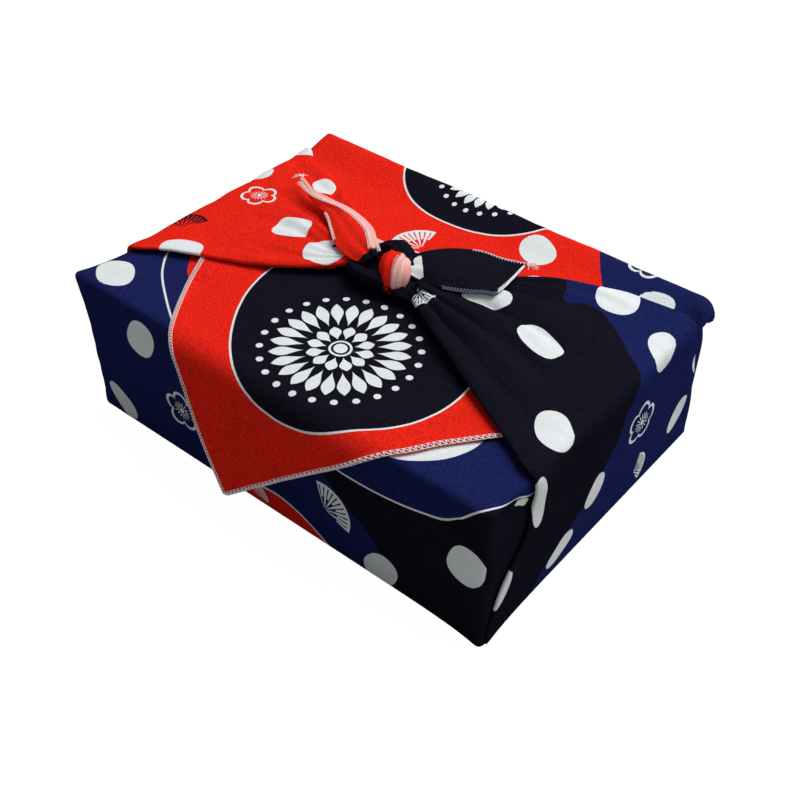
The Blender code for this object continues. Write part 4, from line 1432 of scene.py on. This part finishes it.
class FuroshikiBox(bpy.types.Operator):
    """The plain card box inside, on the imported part's own solid"""

    bl_idname = "furoshiki.box"
    bl_label = "Gift box"

    def execute(self, context):
        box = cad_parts["gift_box"]
        finish = card_finish(colours().card)
        if not box.material_slots:
            box.data.materials.append(finish)
        for slot in box.material_slots:
            slot.material = finish
        return {"FINISHED"}


class FuroshikiStage(bpy.types.Operator):
    """The pale floor, the soft studio light and the camera"""

    bl_idname = "furoshiki.stage"
    bl_label = "Stage"

    def execute(self, context):
        scene = context.scene
        scene.view_settings.view_transform = "Standard"
        mesh = bpy.data.meshes.new("floor")
        signs = ((-1, -1), (1, -1), (1, 1), (-1, 1))
        corners = [(x * FLOOR_REACH, y * FLOOR_REACH, 0) for x, y in signs]
        mesh.from_pydata(corners, [], [(0, 1, 2, 3)])
        paper, tree, matt, _ = new_finish("paper")
        matt.inputs["Base Color"].default_value = colour_of((0.5, 0.5, 0.5))
        matt.inputs["Roughness"].default_value = 0.9
        glow = tree.nodes.new("ShaderNodeEmission")
        glow.inputs["Color"].default_value = colour_of((1, 1, 1))
        glow.inputs["Strength"].default_value = GLOW
        seen = tree.nodes.new("ShaderNodeLightPath").outputs["Is Camera Ray"]
        mix = tree.nodes.new("ShaderNodeMixShader")
        tree.links.new(calc(tree, "MULTIPLY", seen, GLOW_SHARE), mix.inputs["Fac"])
        tree.links.new(matt.outputs[0], mix.inputs[1])
        tree.links.new(glow.outputs[0], mix.inputs[2])
        tree.links.new(mix.outputs[0], tree.nodes["Material Output"].inputs["Surface"])
        mesh.materials.append(paper)
        floor = add_object("floor", mesh)
        scene.world = bpy.data.worlds.new("studio")
        scene.world.use_nodes = True
        sky = scene.world.node_tree.nodes["Background"]
        sky.inputs["Color"].default_value = colour_of((1, 1, 1))
        sky.inputs["Strength"].default_value = SKY
        for name, place, size, power in LIGHTS:
            light = bpy.data.lights.new(name, "AREA")
            light.shape = "SQUARE"
            light.size = size
            light.energy = power
            lamp = add_object(name, light)
            lamp.location = place
            lamp.rotation_mode = "QUATERNION"
            lamp.rotation_quaternion = (Vector(LIGHTS_AIM) - Vector(place)).to_track_quat("-Z", "Y")
        azimuth, elevation, roll = (math.radians(angle) for angle in CAMERA_ANGLES)
        back = Vector(
            (
                math.sin(azimuth) * math.cos(elevation),
                -math.cos(azimuth) * math.cos(elevation),
                math.sin(elevation),
            )
        )
        right = Vector((math.cos(azimuth), math.sin(azimuth), 0))
        right = right * math.cos(roll) + back.cross(right) * math.sin(roll)
        camera = add_object("camera", bpy.data.cameras.new("camera"))
        camera.data.lens = CAMERA_LENS
        camera.data.sensor_width = 36
        turned = Matrix((right, back.cross(right), back)).transposed().to_4x4()
        camera.matrix_world = Matrix.Translation(Vector(CAMERA_PLACE) * LENGTH) @ turned
        scene.camera = camera
        return {"FINISHED"}


PIECES = (FuroshikiSkin, FuroshikiFlap, FuroshikiBands, FuroshikiKnot, FuroshikiEnds, FuroshikiBox)


class FuroshikiPanel(bpy.types.Panel):
    """The wrap's sizes, its colours and its pieces"""

    bl_idname = "VIEW3D_PT_furoshiki"
    bl_label = "Furoshiki"
    bl_space_type = "VIEW_3D"
    bl_region_type = "UI"
    bl_category = "Furoshiki"

    def draw(self, context):
        for group in (context.scene.furoshiki_sizes, context.scene.furoshiki_colours):
            for name in group.bl_rna.properties.keys():
                if name not in ("rna_type", "name"):
                    self.layout.prop(group, name)
        for piece in (*PIECES, FuroshikiStage):
            self.layout.operator(piece.bl_idname)


CLASSES = (FuroshikiSizes, FuroshikiColours, *PIECES, FuroshikiStage, FuroshikiPanel)


def register():
    for made in CLASSES:
        bpy.utils.register_class(made)
    bpy.types.Scene.furoshiki_sizes = bpy.props.PointerProperty(type=FuroshikiSizes)
    bpy.types.Scene.furoshiki_colours = bpy.props.PointerProperty(type=FuroshikiColours)


def unregister():
    del bpy.types.Scene.furoshiki_colours
    del bpy.types.Scene.furoshiki_sizes
    for made in reversed(CLASSES):
        bpy.utils.unregister_class(made)


def main():
    register()
    bpy.ops.furoshiki.stage()
    bpy.ops.furoshiki.skin()
    bpy.ops.furoshiki.flap()
    bpy.ops.furoshiki.bands()
    bpy.ops.furoshiki.knot()
    bpy.ops.furoshiki.ends()
    bpy.ops.furoshiki.box()


if __name__ == "__main__":
    main()
